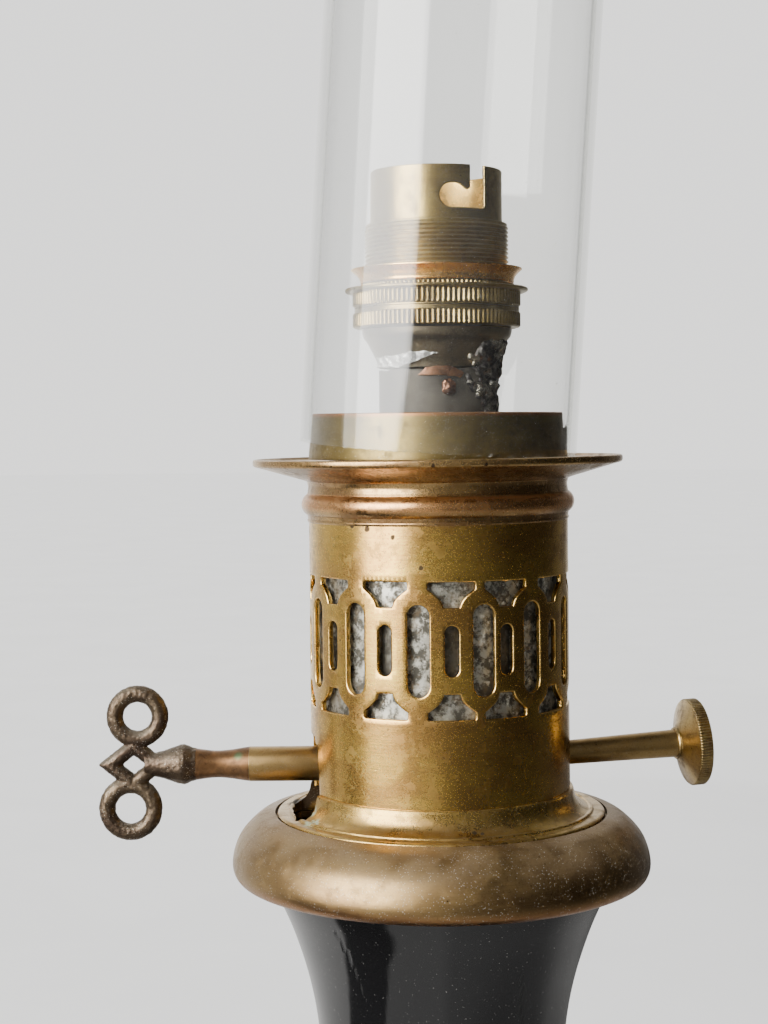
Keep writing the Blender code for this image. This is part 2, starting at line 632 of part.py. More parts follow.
def build_shade_rings(copper, brass):
    turned("shade_ring", [
        (14.3, 402.95), (14.8, 402.95), (14.9, 403.8), (15.6, 404.9), (16.35, 405.6), (15.9, 405.7),
        (15.1, 405.1), (14.3, 404.0),
    ], copper)
    turned("clamp_ring", [
        (14.3, 398.5), (15.6, 398.5), (16.05, 398.9), (16.05, 401.2), (17.7, 401.4), (17.7, 401.9),
        (15.0, 402.0), (15.0, 402.65), (14.3, 402.65),
    ], brass)


def build_contacts(moulded, brass, steel):
    block = turned("contact_block", [
        (0, 395.0), (8.8, 395.0), (8.8, BLOCK_BOTTOM - 0.4), (10.9, BLOCK_BOTTOM), (10.9, BLOCK_TOP - 0.6),
        (10.3, BLOCK_TOP), (0, BLOCK_TOP),
    ], moulded, MEDIUM)
    for side, label in ((-1, "left"), (1, "right")):
        x = side * PLUNGER_X
        place = shift(x, 0, 0)
        cut(block, disc(f"bore_{label}", PLUNGER_R + 0.4, 398.8, BLOCK_TOP + 3, None, SMALL, place))
        turned(f"plunger_{label}", [
            (0, 406.0), (PLUNGER_R, 406.0), (PLUNGER_R, PLUNGER_TOP - 0.7), (1.2, PLUNGER_TOP), (0, PLUNGER_TOP),
        ], brass, SMALL, place)
        swept(f"plunger_spring_{label}", helix(x, 1.35, 399.4, 405.4, 4, 8), 0.25, 4, steel)
        turned(f"terminal_screw_{label}", [
            (0, 392.6), (1.7, 392.6), (1.8, 393.7), (0.9, 393.8), (0.9, 394.7), (0, 394.7),
        ], brass, TINY, shift(side * 5.6, 0, 0))


def build_solder(solder):
    """Lumpy fillet that holds the lampholder's cap on the burner tube, on the right-hand side only."""
    fillet = turned_bmesh([(11.65, 382.6), (12.3, 382.9), (13.0, 385.2), (13.1, 387.4), (12.7, 387.9), (11.65, 386.4)],
                          10, math.radians(170))
    add_object("solder_joint", fillet, solder, turn(math.radians(-110), "Z"))


def build_lamp():
    brass = material("aged_brass", (0.42, 0.28, 0.12), 0.38, 1.0)
    holder = material("holder_brass", (0.30, 0.25, 0.17), 0.55, 0.9)
    copper = material("copper_brown", (0.35, 0.20, 0.13), 0.45, 1.0)
    cast = material("cast_brass", (0.25, 0.15, 0.08), 0.45, 0.9)
    tin = material("tinplate", (0.50, 0.49, 0.46), 0.50, 0.8)
    dark_tin = material("burner_tin", (0.12, 0.11, 0.10), 0.6, 0.7)
    steel = material("steel", (0.45, 0.45, 0.45), 0.35, 1.0)
    solder = material("solder", (0.55, 0.54, 0.52), 0.4, 1.0)
    glaze = material("black_glaze", (0.010, 0.010, 0.011), 0.10, 0.0)
    glass = material("chimney_glass", (0.95, 0.97, 0.96), 0.02, 0.0, 0.3)
    leather = material("leather", (0.16, 0.09, 0.05), 0.8, 0.0)
    felt = material("felt", (0.05, 0.07, 0.05), 0.95, 0.0)
    cork = material("cork", (0.45, 0.33, 0.20), 0.9, 0.0)
    moulded = material("moulded_insulator", (0.06, 0.04, 0.03), 0.4, 0.0)
    rubber = material("rubber", (0.03, 0.03, 0.03), 0.7, 0.0)

    build_foot(brass, felt, steel, rubber)
    build_vase(glaze)
    build_reservoir(tin, steel)
    build_oil_path(tin, brass)
    build_piston(brass, leather, steel)
    build_collar(brass, cork)
    build_gallery(brass, tin)
    build_chimney(glass)
    build_burner(brass, dark_tin)
    build_wick_drive(brass, steel)
    build_key(brass, cast, steel)
    build_arbor_bearing(brass, steel)
    build_lampholder_shell(holder)
    build_shade_rings(copper, holder)
    build_contacts(moulded, brass, steel)
    build_solder(solder)


for leftover in list(bpy.data.objects):
    bpy.data.objects.remove(leftover)
build_lamp()
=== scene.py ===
"""Looks of the converted oil lamp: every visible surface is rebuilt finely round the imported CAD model.

Lengths are in millimetres and become metres where a mesh is made. Angles on the lamp are in degrees from
the front (-Y), growing towards the wick knob (+X).
"""

import json
import math
import random

import bmesh
import bpy
import numpy as np
from mathutils import Matrix, Vector, geometry, noise


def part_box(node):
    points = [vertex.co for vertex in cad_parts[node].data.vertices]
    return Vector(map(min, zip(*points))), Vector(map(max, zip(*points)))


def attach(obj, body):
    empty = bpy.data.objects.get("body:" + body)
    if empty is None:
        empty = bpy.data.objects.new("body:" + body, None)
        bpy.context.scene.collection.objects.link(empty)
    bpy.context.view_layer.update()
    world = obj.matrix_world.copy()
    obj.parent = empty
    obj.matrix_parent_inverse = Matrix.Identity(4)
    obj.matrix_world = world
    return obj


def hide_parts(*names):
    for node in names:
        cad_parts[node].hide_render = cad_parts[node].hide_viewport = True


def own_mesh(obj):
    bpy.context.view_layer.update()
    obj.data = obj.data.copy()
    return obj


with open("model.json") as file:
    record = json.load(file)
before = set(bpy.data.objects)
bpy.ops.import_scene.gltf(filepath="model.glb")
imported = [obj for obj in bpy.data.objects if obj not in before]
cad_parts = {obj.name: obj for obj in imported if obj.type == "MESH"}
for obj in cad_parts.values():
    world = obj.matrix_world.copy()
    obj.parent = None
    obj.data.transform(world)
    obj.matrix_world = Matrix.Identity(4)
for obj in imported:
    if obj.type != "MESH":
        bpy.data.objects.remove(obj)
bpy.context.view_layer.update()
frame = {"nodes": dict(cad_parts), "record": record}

MM = 0.001
TAU = 2 * math.pi
TALL = Matrix.Rotation(math.pi / 2, 4, "X")

# Camera, in metres and degrees
EYE = (-0.0103, -0.346, 0.375)
LENS = 63.3
SHIFT_Y = -0.080
ROLL = 0.45

# Light and backdrop
WINDOW_GLOW, BACKDROP_GLOW, FILL_GLOW = 17.5, 1.69, 0.5
BACKDROP = (0.965, 0.96, 0.945)
FLOOR_LIGHT, FLOOR_SHADE = (0.95, 0.95, 0.94), (0.92, 0.92, 0.91)
LAMP_MIDDLE = 0.33

# Pierced pattern of the gallery body
REPEATS = 13
LARGE_SLOT_ANGLE = -10.3
PATTERN_Z = 335.35
LARGE_SLOT = (4.1, 16.6)
SMALL_SLOT = (2.6, 9.1)
KITE_WIDE, KITE_NARROW, KITE_SIDE, KITE_OUT, KITE_IN = 8.7, 2.9, 1.3, 12.35, 7.75

# Bayonet slot, degrees and millimetres
HOOK_FAR, ENTRY_NEAR, ENTRY_END = 1.6, 28.9, 44.3
HOOK_DEEP, HOOK_LEG, NIB = 8.0, 4.5, 1.15

# Chimney
LEAN_RIGHT, LEAN_FRONT = math.radians(3.65), math.radians(2.0)
GLASS_WALL = 1.25
CHIMNEY_FOOT_Z = 371.45

# Wick shaft
WICK_Z = 312.0
WICK_AZIMUTH, WICK_RISE = math.radians(10.0), math.radians(2.5)
KNOB_R, KNOB_FACE = 8.4, 52.3


class Span:
    """A CAD node's box in millimetres."""

    def __init__(self, node):
        low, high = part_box(node)
        self.left, _, self.low = (value / MM for value in low)
        self.right, self.back, self.high = (value / MM for value in high)
        self.r = (self.right - self.left) / 2


# Materials


class Look:
    """Adds nodes to one material, and wires them. Texture scales are in features per metre."""

    def __init__(self, name):
        self.material = bpy.data.materials.new(name)
        self.material.use_nodes = True
        self.tree = self.material.node_tree
        self.shader = self.tree.nodes["Principled BSDF"]
        self.place = self.tree.nodes.new("ShaderNodeTexCoord").outputs["Object"]

    def add(self, kind, inputs=(), **settings):
        node = self.tree.nodes.new("ShaderNode" + kind)
        for key, value in settings.items():
            setattr(node, key, value)
        for key, value in dict(inputs).items():
            self.put(node.inputs[key], value)
        return node

    def put(self, socket, value):
        if isinstance(value, bpy.types.NodeSocket):
            self.tree.links.new(value, socket)
        elif socket.type == "RGBA":
            socket.default_value = (*value, 1.0)
        else:
            socket.default_value = value

    def set(self, **inputs):
        for key, value in inputs.items():
            self.put(self.shader.inputs[key.replace("_", " ")], value)

    def stretched(self, x, y, z):
        return self.add("Mapping", {"Vector": self.place, "Scale": (x, y, z)}).outputs[0]

    def noise(self, scale, detail=5.0, rough=0.55, warp=0.0, place=None):
        inputs = {"Vector": place or self.place, "Scale": scale, "Detail": detail, "Roughness": rough,
                  "Distortion": warp}
        return self.add("TexNoise", inputs).outputs["Fac"]

    def cells(self, scale):
        return self.add("TexVoronoi", {"Vector": self.place, "Scale": scale}).outputs["Distance"]

    def band(self, value, low, high, to_low=0.0, to_high=1.0):
        inputs = {"Value": value, "From Min": low, "From Max": high, "To Min": to_low, "To Max": to_high}
        return self.add("MapRange", inputs, interpolation_type="SMOOTHSTEP").outputs["Result"]

    def math(self, operation, first, second):
        node = self.add("Math", operation=operation, use_clamp=operation == "ADD")
        self.put(node.inputs[0], first)
        self.put(node.inputs[1], second)
        return node.outputs[0]

    def plus(self, first, second):
        """The sum, held between 0 and 1."""
        return self.math("ADD", first, second)

    def minus(self, first, second):
        return self.math("SUBTRACT", first, second)

    def times(self, first, second):
        return self.math("MULTIPLY", first, second)

    def mix(self, factor, first, second):
        node = self.add("Mix", data_type="RGBA")
        self.put(node.inputs["Factor"], factor)
        self.put(node.inputs[6], first)
        self.put(node.inputs[7], second)
        return node.outputs[2]

    def attribute(self, name):
        return self.add("Attribute", attribute_name=name).outputs["Fac"]

    def facing_up(self):
        normal = self.add("NewGeometry").outputs["Normal"]
        return self.band(self.add("SeparateXYZ", {"Vector": normal}).outputs["Z"], 0.15, 0.9)

    def height(self, low, high):
        """0 under the height low, 1 over the height high, in millimetres."""
        z = self.add("SeparateXYZ", {"Vector": self.place}).outputs["Z"]
        return self.band(z, low * MM, high * MM)

    def near(self, points):
        """1 close to any of the points (angle, radius of the surface, height, size), 0 away from them."""
        found = 0.0
        wobbly = self.add("VectorMath", {0: self.place}, operation="ADD")
        jitter = self.add("TexNoise", {"Vector": self.place, "Scale": 900.0}).outputs["Color"]
        self.put(wobbly.inputs[1], self.add(
            "VectorMath", {0: jitter, 1: (0.0006, 0.0006, 0.0006)}, operation="MULTIPLY").outputs[0])
        for angle, radius, z, size in points:
            spot = Vector(around(angle, radius, z)) * MM + Vector((0.0003, 0.0003, 0.0003))
            apart = self.add("VectorMath", {0: wobbly.outputs[0], 1: spot},
                             operation="DISTANCE").outputs["Value"]
            found = self.math("MAXIMUM", found, self.band(apart, size * MM * 0.6, size * MM, 1.0, 0.0))
        return found

    def bump(self, height, distance):
        return self.add("Bump", {"Height": height, "Distance": distance * MM}).outputs["Normal"]


def aged_metal(name, bright, dull, dark, rough=(0.24, 0.46), dust=0.0, dust_color=(0.30, 0.27, 0.20),
               grit=0.0, stains_and_shade=(), verdigris=(), tint=None, edge=None, inner=None, speckle=0.35, lines=0.5,
               cloudy=0.5):
    """Turned brass with tarnish, fine turning lines, dark specks, dust on what faces up, stains and painted
    shade as dark spots, and painted light as a brighter inner colour.
    """
    look = Look(name)
    patches = look.band(look.noise(1.0, 7.0, 0.62, 0.5, look.stretched(55.0, 55.0, 110.0)), 0.38, 0.64)
    clouds = look.band(look.noise(330.0, 6.0, 0.7), 0.42, 0.72)
    turning = look.noise(1.0, 3.0, 0.6, 0.0, look.stretched(55.0, 55.0, 3800.0))
    scratches = look.band(look.noise(1.0, 2.0, 0.6, 0.3, look.stretched(260.0, 260.0, 5200.0)), 0.63, 0.70)
    pits = look.band(look.cells(720.0), 0.05, 0.16, 1.0, 0.0)
    rare = look.band(look.noise(210.0, 2.0), 0.56, 0.70)
    fine = look.band(look.noise(2600.0, 3.0, 0.7), 0.52, 0.72)
    color = look.mix(patches, bright, dull)
    color = look.mix(look.times(clouds, cloudy), color, dark)
    if tint:
        tint_color, tint_mask = tint
        color = look.mix(tint_mask(look), color, tint_color)
    streaks = look.math("MAXIMUM", look.band(turning, 0.45, 0.75), scratches)
    color = look.mix(look.times(streaks, 0.34 * lines), color, dark)
    color = look.mix(look.times(fine, speckle), color, dark)
    color = look.mix(look.times(look.times(pits, rare), 0.9), color, (0.03, 0.022, 0.016))
    roughness = look.plus(look.band(clouds, 0.0, 1.0, rough[0], rough[1]),
                          look.times(fine, 0.10))
    metal = 1.0
    if edge:
        worn = look.times(look.attribute("edge"), look.band(look.noise(500.0), 0.35, 0.55))
        color = look.mix(worn, color, edge)
        roughness = look.minus(roughness, look.times(worn, 0.08))
    # Painted light, with cleaner metal: a bent sheet's inner face takes a brighter golden colour and less
    # metal.
    if inner:
        color = look.mix(look.attribute("inside"), color, inner)
        metal = look.minus(metal, look.times(look.attribute("inside"), 0.5))
    # Dark spots: real stains, and painted shade where a listed spot lies over a dark recess.
    if stains_and_shade:
        mask = look.near(stains_and_shade)
        color = look.mix(look.times(mask, 0.93), color, (0.025, 0.018, 0.016))
        roughness = look.plus(roughness, look.times(mask, 0.3))
    if verdigris:
        mask = look.times(look.near(verdigris), look.band(look.noise(1500.0), 0.35, 0.6))
        color = look.mix(look.times(mask, 0.8), color, (0.30, 0.42, 0.33))
        metal = look.minus(1.0, mask)
    if dust:
        film = look.times(look.facing_up(), look.band(look.noise(160.0), 0.25, 0.65))
        film = look.times(film, dust)
        color = look.mix(film, color, dust_color)
        metal = look.minus(metal, film)
        roughness = look.plus(roughness, look.times(film, 0.5))
    if grit:
        grains = look.band(look.cells(2300.0), 0.12, 0.26, 1.0, 0.0)
        grains = look.times(grains, look.band(look.noise(420.0, 3.0), 0.36, 0.60, 0.0, grit))
        color = look.mix(grains, color, (0.50, 0.46, 0.38))
        metal = look.minus(metal, grains)
    height = look.plus(look.times(turning, 0.35 * lines),
                       look.times(look.noise(1900.0, 4.0), 0.3))
    height = look.minus(height, look.times(pits, 0.25))
    look.set(Base_Color=color, Roughness=roughness, Metallic=metal, Normal=look.bump(height, 0.03))
    return look.material


def flange_tint(look):
    """A coppery band round the neck of the flange."""
    risen = look.height(359.6, 360.8)
    return look.times(risen, look.minus(0.85, look.height(362.8, 363.4)))


def collar_tint(look):
    """A coppery foot of the collar."""
    return look.minus(0.85, look.height(289.5, 293.5))


def seat_tint(look):
    """A coppery lip on top of the seat ring."""
    return look.times(look.height(377.2, 377.9), 0.8)


def tin_look():
    """Mottled tinplate: bright spangle, black and rust blots, and painted shade behind the small slots."""
    look = Look("mottled_tin")
    blots = look.noise(430.0, 8.0, 0.72, 0.1)
    dark = look.band(blots, 0.42, 0.56)
    rust = look.times(look.band(look.noise(420.0, 5.0, 0.7, 0.1), 0.52, 0.68), 0.75)
    pale = look.band(look.noise(700.0, 5.0, 0.75), 0.55, 0.66)
    color = look.mix(dark, (0.42, 0.41, 0.35), (0.075, 0.07, 0.057))
    color = look.mix(look.times(pale, 0.6), color, (0.70, 0.69, 0.61))
    color = look.mix(rust, color, (0.16, 0.115, 0.065))
    # Painted shade: the tin is darkened near black behind the small slots of the body.
    color = look.mix(look.times(look.attribute("slot_shade"), 0.9), color, (0.055, 0.05, 0.04))
    height = look.plus(look.times(blots, 0.6), look.times(pale, 0.3))
    look.set(Base_Color=color, Roughness=look.band(dark, 0.0, 1.0, 0.40, 0.62),
             Metallic=look.band(pale, 0.0, 1.0, 0.85, 0.4), Normal=look.bump(height, 0.07))
    return look.material


def burner_tin_look():
    look = Look("sooted_tin")
    clouds = look.noise(240.0, 6.0, 0.65)
    grains = look.band(look.noise(3200.0, 2.0, 0.8), 0.56, 0.74)
    color = look.mix(look.band(clouds, 0.35, 0.65), (0.07, 0.062, 0.052), (0.125, 0.11, 0.09))
    color = look.mix(look.times(grains, 0.5), color, (0.33, 0.305, 0.25))
    look.set(Base_Color=color, Roughness=look.band(clouds, 0.3, 0.7, 0.45, 0.65), Metallic=0.55,
             Normal=look.bump(look.plus(clouds, grains), 0.04))
    return look.material


def solder_look():
    look = Look("sooted_solder")
    clouds = look.noise(520.0, 6.0, 0.7, 0.8)
    shine = look.band(look.noise(380.0, 3.0), 0.50, 0.62)
    rust = look.band(look.noise(300.0, 4.0, 0.6), 0.55, 0.66)
    color = look.mix(look.band(clouds, 0.4, 0.62), (0.035, 0.032, 0.032), (0.16, 0.15, 0.145))
    color = look.mix(look.times(shine, 0.75), color, (0.46, 0.43, 0.36))
    color = look.mix(look.times(rust, 0.6), color, (0.20, 0.095, 0.045))
    look.set(Base_Color=color, Roughness=look.band(shine, 0.0, 1.0, 0.55, 0.22), Metallic=0.9,
             Normal=look.bump(clouds, 0.25))
    return look.material


def foil_look():
    look = Look("torn_foil")
    creases = look.noise(620.0, 6.0, 0.75, 1.2)
    color = look.mix(look.band(creases, 0.35, 0.6), (0.86, 0.86, 0.85), (0.45, 0.44, 0.43))
    look.set(Base_Color=color, Roughness=look.band(creases, 0.3, 0.7, 0.2, 0.5), Metallic=0.85,
             Normal=look.bump(creases, 0.3))
    return look.material


def copper_look(name, base, shade, green_x=None):
    """Copper-coloured metal, browned in clouds. On the key it has a green spot near the given x."""
    look = Look(name)
    clouds = look.noise(420.0, 6.0, 0.65, 0.4)
    color = look.mix(look.band(clouds, 0.36, 0.66), base, shade)
    dark = look.band(look.noise(1300.0, 3.0), 0.58, 0.72)
    color = look.mix(look.times(dark, 0.5), color, (0.05, 0.03, 0.02))
    if green_x:
        spot = Vector((green_x - 2.0, -2.2, Span("key_sleeve").high - 1.2)) * MM
        apart = look.add("VectorMath", {0: look.place, 1: spot}, operation="DISTANCE").outputs["Value"]
        mask = look.times(look.band(apart, 0.0003, 0.0012, 1.0, 0.0), look.band(clouds, 0.3, 0.5))
        color = look.mix(mask, color, (0.12, 0.16, 0.08))
    look.set(Base_Color=color, Roughness=look.band(clouds, 0.3, 0.7, 0.3, 0.5), Metallic=0.9,
             Normal=look.bump(clouds, 0.05))
    return look.material


def glaze_look():
    """Black glaze with faint ripples, fine scratches, dust and two hairline cracks."""
    look = Look("black_glaze")
    ripple = look.noise(110.0, 2.0, 0.5)
    scratches = look.band(look.noise(1.0, 4.0, 0.75, 2.2, look.stretched(300.0, 300.0, 1500.0)), 0.60, 0.70)
    grains = look.band(look.noise(2600.0, 1.0, 0.8), 0.70, 0.80)
    color = look.mix(look.times(grains, 0.5), (0.006, 0.006, 0.0065), (0.30, 0.29, 0.27))
    roughness = look.plus(look.band(look.noise(190.0, 4.0), 0.3, 0.7, 0.045, 0.085),
                          look.times(scratches, 0.16))
    crack = look.attribute("crack")
    color = look.mix(crack, color, (0.002, 0.002, 0.002))
    roughness = look.plus(roughness, look.times(crack, 0.5))
    height = look.minus(look.times(ripple, 0.5), crack)
    look.set(Base_Color=color, Roughness=roughness, Normal=look.bump(height, 0.06), Specular_IOR_Level=0.62)
    return look.material


def glass_look():
    """Old clear glass, with dust. Light on its way to or from another surface passes straight through it,
    and the rim seen edge-on is a thin pale line."""
    look = Look("chimney_glass")
    look.set(Base_Color=(0.975, 0.98, 0.97), Roughness=0.0, Transmission_Weight=1.0, IOR=1.48)
    clear = look.add("BsdfTransparent", {"Color": (0.95, 0.955, 0.945)})
    path = look.add("LightPath").outputs
    later = look.plus(path["Glossy Depth"], path["Diffuse Depth"])
    straight = look.plus(path["Is Shadow Ray"], later)
    facing = look.add("LayerWeight", {"Blend": 0.5}).outputs["Facing"]
    edge_on = look.band(look.minus(facing, look.times(look.attribute("bore"), 0.14)), 0.60, 0.66)
    shine = look.add("BsdfGlossy", {"Color": (1, 1, 1), "Roughness": 0.0})
    rim = look.add("MixShader", {0: 0.24, 1: clear.outputs[0], 2: shine.outputs[0]})
    body = look.add("MixShader", {0: edge_on, 1: look.shader.outputs[0], 2: rim.outputs[0]})
    lit = look.add("MixShader", {0: straight, 1: body.outputs[0], 2: clear.outputs[0]})
    grains = look.band(look.noise(1500.0, 2.0, 0.9), 0.70, 0.76)
    haze = look.times(look.band(look.noise(60.0, 4.0, 0.6), 0.3, 0.8), 0.02)
    chips = look.attribute("chip")
    powder = look.math("MAXIMUM", look.plus(look.times(grains, 0.4), haze), chips)
    chalk = look.add("BsdfPrincipled", {"Base Color": (0.62, 0.61, 0.57), "Roughness": 0.7})
    dusty = look.add("MixShader", {0: powder, 1: lit.outputs[0], 2: chalk.outputs[0]})
    look.tree.links.new(dusty.outputs[0], look.tree.nodes["Material Output"].inputs["Surface"])
    return look.material


def plain_look(name, color, shade, roughness, scale, metallic=0.0, depth=0.05):
    """Felt, cork, rubber, leather, moulded or plain metal: a colour broken up by noise, and a fine bump."""
    look = Look(name)
    grain = look.noise(scale, 6.0, 0.7)
    clouds = look.noise(scale / 9, 4.0)
    mixed = look.mix(look.band(grain, 0.35, 0.65), color, shade)
    mixed = look.mix(look.times(look.band(clouds, 0.4, 0.7), 0.4), mixed, shade)
    look.set(Base_Color=mixed, Roughness=look.band(grain, 0.3, 0.7, roughness - 0.08, roughness + 0.08),
             Metallic=metallic, Normal=look.bump(grain, depth))
    return look.material


# Mesh helpers


def around(angle, radius, z):
    """The point at an angle from the front on a circle about the lamp's axis."""
    turned = math.radians(angle)
    return (radius * math.sin(turned), -radius * math.cos(turned), z)


def swirl(angle, spread, z):
    """A place to read noise at. It goes round a circle with the angle, so the noise has no seam."""
    turned = math.radians(angle)
    return Vector((math.cos(turned) * spread, math.sin(turned) * spread, z))


def linked(name, data):
    """A new object in the scene."""
    obj = bpy.data.objects.new(name, data)
    bpy.context.scene.collection.objects.link(obj)
    return obj


def paint(mesh, name, value_of):
    """Stores a number at each vertex, which the material reads."""
    layer = mesh.attributes.new(name, "FLOAT", "POINT")
    for vert, value in zip(mesh.vertices, layer.data):
        value.value = value_of(vert)


def show(name, mesh, material, body, replaced=(), smooth=38):
    """Makes a mesh a piece of the lamp that rides on a body."""
    mesh.materials.append(material)
    mesh.shade_smooth()
    mesh.set_sharp_from_angle(angle=math.radians(smooth))
    obj = linked(name, mesh)
    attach(obj, body)
    if replaced:
        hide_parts(*replaced)
    return obj


def clean_mesh(name, bm):
    bmesh.ops.remove_doubles(bm, verts=bm.verts, dist=2e-6)
    bmesh.ops.recalc_face_normals(bm, faces=bm.faces)
    mesh = bpy.data.meshes.new(name)
    bm.to_mesh(mesh)
    bm.free()
    return mesh


def grid_mesh(name, points, close_rows=True, close_columns=True, matrix=None):
    """Mesh over a grid of points [row][column], in mm. Rows go round, columns follow the outline."""
    points = np.asarray(points, float)
    rows, columns = points.shape[:2]
    flat = points.reshape(-1, 3) * MM
    if matrix is not None:
        flat = flat @ np.array(matrix.to_3x3()).T + np.array(matrix.translation)
    index = np.arange(rows * columns).reshape(rows, columns)
    down = np.roll(index, -1, 0) if close_rows else index[1:]
    here = index if close_rows else index[:-1]
    right, down_right = np.roll(here, -1, 1), np.roll(down, -1, 1)
    if not close_columns:
        here, down, right, down_right = (part[:, :-1] for part in (here, down, right, down_right))
    faces = np.stack([here, down, down_right, right], -1).reshape(-1, 4)
    mesh = bpy.data.meshes.new(name)
    mesh.from_pydata(flat.tolist(), [], faces.tolist())
    bm = bmesh.new()
    bm.from_mesh(mesh)
    bpy.data.meshes.remove(mesh)
    return clean_mesh(name, bm)


def filleted(corners, radius=0.2, steps=4):
    """Rounds the corners of a closed outline. A corner may carry its own radius as a third number."""
    points = []
    for i, corner in enumerate(corners):
        here = Vector(corner[:2])
        before = Vector(corners[i - 1][:2]) - here
        after = Vector(corners[(i + 1) % len(corners)][:2]) - here
        reach = corner[2] if len(corner) > 2 else radius
        reach = min(reach, before.length * 0.48, after.length * 0.48)
        if reach <= 0:
            points.append(tuple(here))
            continue
        start, end = here + before.normalized() * reach, here + after.normalized() * reach
        for k in range(steps + 1):
            t = k / steps
            points.append(tuple(start * (1 - t) ** 2 + here * 2 * t * (1 - t) + end * t * t))
    return points


def spline(knots, per=6):
    """A smooth line through the knots."""
    points = []
    padded = [knots[0], *knots, knots[-1]]
    for i in range(len(knots) - 1):
        a, b, c, d = (np.array(point, float) for point in padded[i:i + 4])
        for k in range(per):
            t = k / per
            point = 0.5 * (2 * b + (c - a) * t + (2 * a - 5 * b + 4 * c - d) * t * t
                           + (3 * b - a - 3 * c + d) * t ** 3)
            points.append(tuple(point))
    points.append(tuple(knots[-1]))
    return points


def arc(cx, cy, radius, start, end, steps):
    points = []
    for i in range(steps + 1):
        angle = math.radians(start + (end - start) * i / steps)
        points.append((cx + radius * math.cos(angle), cy + radius * math.sin(angle)))
    return points


def lathe_points(outline, steps, relief=None):
    """Grid of points for an outline of (radius, height) turned about the lamp's axis."""
    grid = []
    for i in range(steps):
        angle = 360 * i / steps
        row = [relief(angle, *point) for point in outline] if relief else outline
        grid.append([around(angle, *point) for point in row])
    return grid


def lathe(name, outline, material, body, replaced=(), steps=200, relief=None, matrix=None, smooth=38):
    mesh = grid_mesh(name, lathe_points(outline, steps, relief), matrix=matrix)
    return show(name, mesh, material, body, replaced, smooth)


def worn_relief(amount, seed):
    """Slight waves and dents, in millimetres, so that a spun part isn't perfectly round."""

    def relief(angle, radius, z):
        return radius + amount * noise.noise(swirl(angle, 1.6, z * 0.05 + seed)) * min(1.0, radius / 5), z

    return relief


def knurl(ridges, depth, zones):
    """Relief of upright ridges on the heights in zones of (low, high, least radius)."""

    def relief(angle, radius, z):
        phase = angle * ridges / 360 % 1
        groove = max(0.0, 1 - abs(phase - 0.5) / 0.30)
        for low, high, least in zones:
            if low < z < high and radius > least:
                return radius - depth * groove ** 0.8, z
        return radius, z

    return relief


def tidy_loop(loop, wanted):
    """Drops doubled points and turns the loop the right way: 1 leaves the metal inside, -1 outside."""
    points = [here for here, before in zip(loop, [loop[-1], *loop[:-1]]) if math.dist(here, before) > 1e-3]
    area = sum(a[0] * b[1] - b[0] * a[1] for a, b in zip(points, points[1:] + points[:1]))
    return np.array(points if area * wanted > 0 else points[::-1])


def divided(loop, longest):
    """Splits the long edges of a loop, so that the sheet can be bent round a cylinder."""
    points = []
    for here, ahead in zip(loop, np.roll(loop, -1, 0)):
        count = max(1, math.ceil(math.dist(here, ahead) / longest))
        points += [here + (ahead - here) * k / count for k in range(count)]
    return np.array(points)


def inset(loop, distance):
    """Moves a loop of points into the metal, which lies on the left of its line."""
    ahead = np.roll(loop, -1, 0) - loop
    ahead /= np.linalg.norm(ahead, axis=1)[:, None]
    left = np.stack([-ahead[:, 1], ahead[:, 0]], -1)
    before = np.roll(left, 1, 0)
    spread = 1 + (left * before).sum(1)
    return loop + (left + before) / np.maximum(spread, 0.7)[:, None] * distance


def inside_loops(points, loops):
    """True for the points that lie inside an odd number of the loops."""
    odd = np.zeros(len(points), bool)
    for loop in loops:
        for (ax, ay), (bx, by) in zip(loop, np.roll(loop, -1, 0)):
            if ay != by:
                between = (points[:, 1] >= ay) != (points[:, 1] >= by)
                odd ^= between & (points[:, 0] < ax + (bx - ax) * (points[:, 1] - ay) / (by - ay))
    return odd


def sheet_mesh(outer, holes, thickness, bevel, pitch):
    """Flat sheet with holes and rounded edges: x and y in the sheet, z through it, centred on 0."""
    loops = [divided(tidy_loop(outer, 1), pitch)] + [divided(tidy_loop(hole, -1), pitch) for hole in holes]
    half = thickness / 2
    turns = [math.pi / 2 * k / 3 for k in range(4)]
    rounding = [(half - bevel * (1 - math.cos(t)), bevel * (1 - math.sin(t))) for t in turns]
    rounding += [(-depth, reach) for depth, reach in reversed(rounding)]
    bm = bmesh.new()
    front, back, edges = [], [], []
    for loop in loops:
        rows = []
        for depth, reach in rounding:
            rows.append([bm.verts.new((x * MM, y * MM, depth * MM)) for x, y in inset(loop, reach)])
        count = len(loop)
        for upper, lower in zip(rows, rows[1:]):
            for i in range(count):
                j = (i + 1) % count
                bm.faces.new((upper[i], upper[j], lower[j], lower[i]))
        edges += [(len(front) + i, len(front) + (i + 1) % count) for i in range(count)]
        front += rows[0]
        back += rows[-1]
    edge_loops = [inset(loop, bevel) for loop in loops]
    low, high = edge_loops[0].min(0), edge_loops[0].max(0)
    across, up = np.meshgrid(np.arange(low[0] + pitch / 2, high[0], pitch),
                             np.arange(low[1] + pitch / 2, high[1], pitch))
    lattice = np.stack([across.ravel(), up.ravel()], -1)
    lattice = lattice[inside_loops(lattice, edge_loops)]
    flat = [Vector(point) for point in np.concatenate([*edge_loops, lattice])]
    spots, _, faces, origins, _, _ = geometry.delaunay_2d_cdt(flat, edges, [], 1, 1e-5)
    middles = np.array([np.mean([spots[i] for i in face], 0) for face in faces])
    kept = [face for face, solid in zip(faces, inside_loops(middles, edge_loops)) if solid]
    for side, rim in ((1, front), (-1, back)):
        verts = {}
        for face in kept:
            for i in face:
                if i not in verts:
                    first = min(origins[i], default=len(rim))
                    on_rim = first < len(rim)
                    verts[i] = rim[first] if on_rim else bm.verts.new((*(spots[i] * MM), side * half * MM))
            corners = [verts[i] for i in face]
            if len(set(corners)) == 3 and not bm.faces.get(corners):
                bm.faces.new(corners)
    return bm


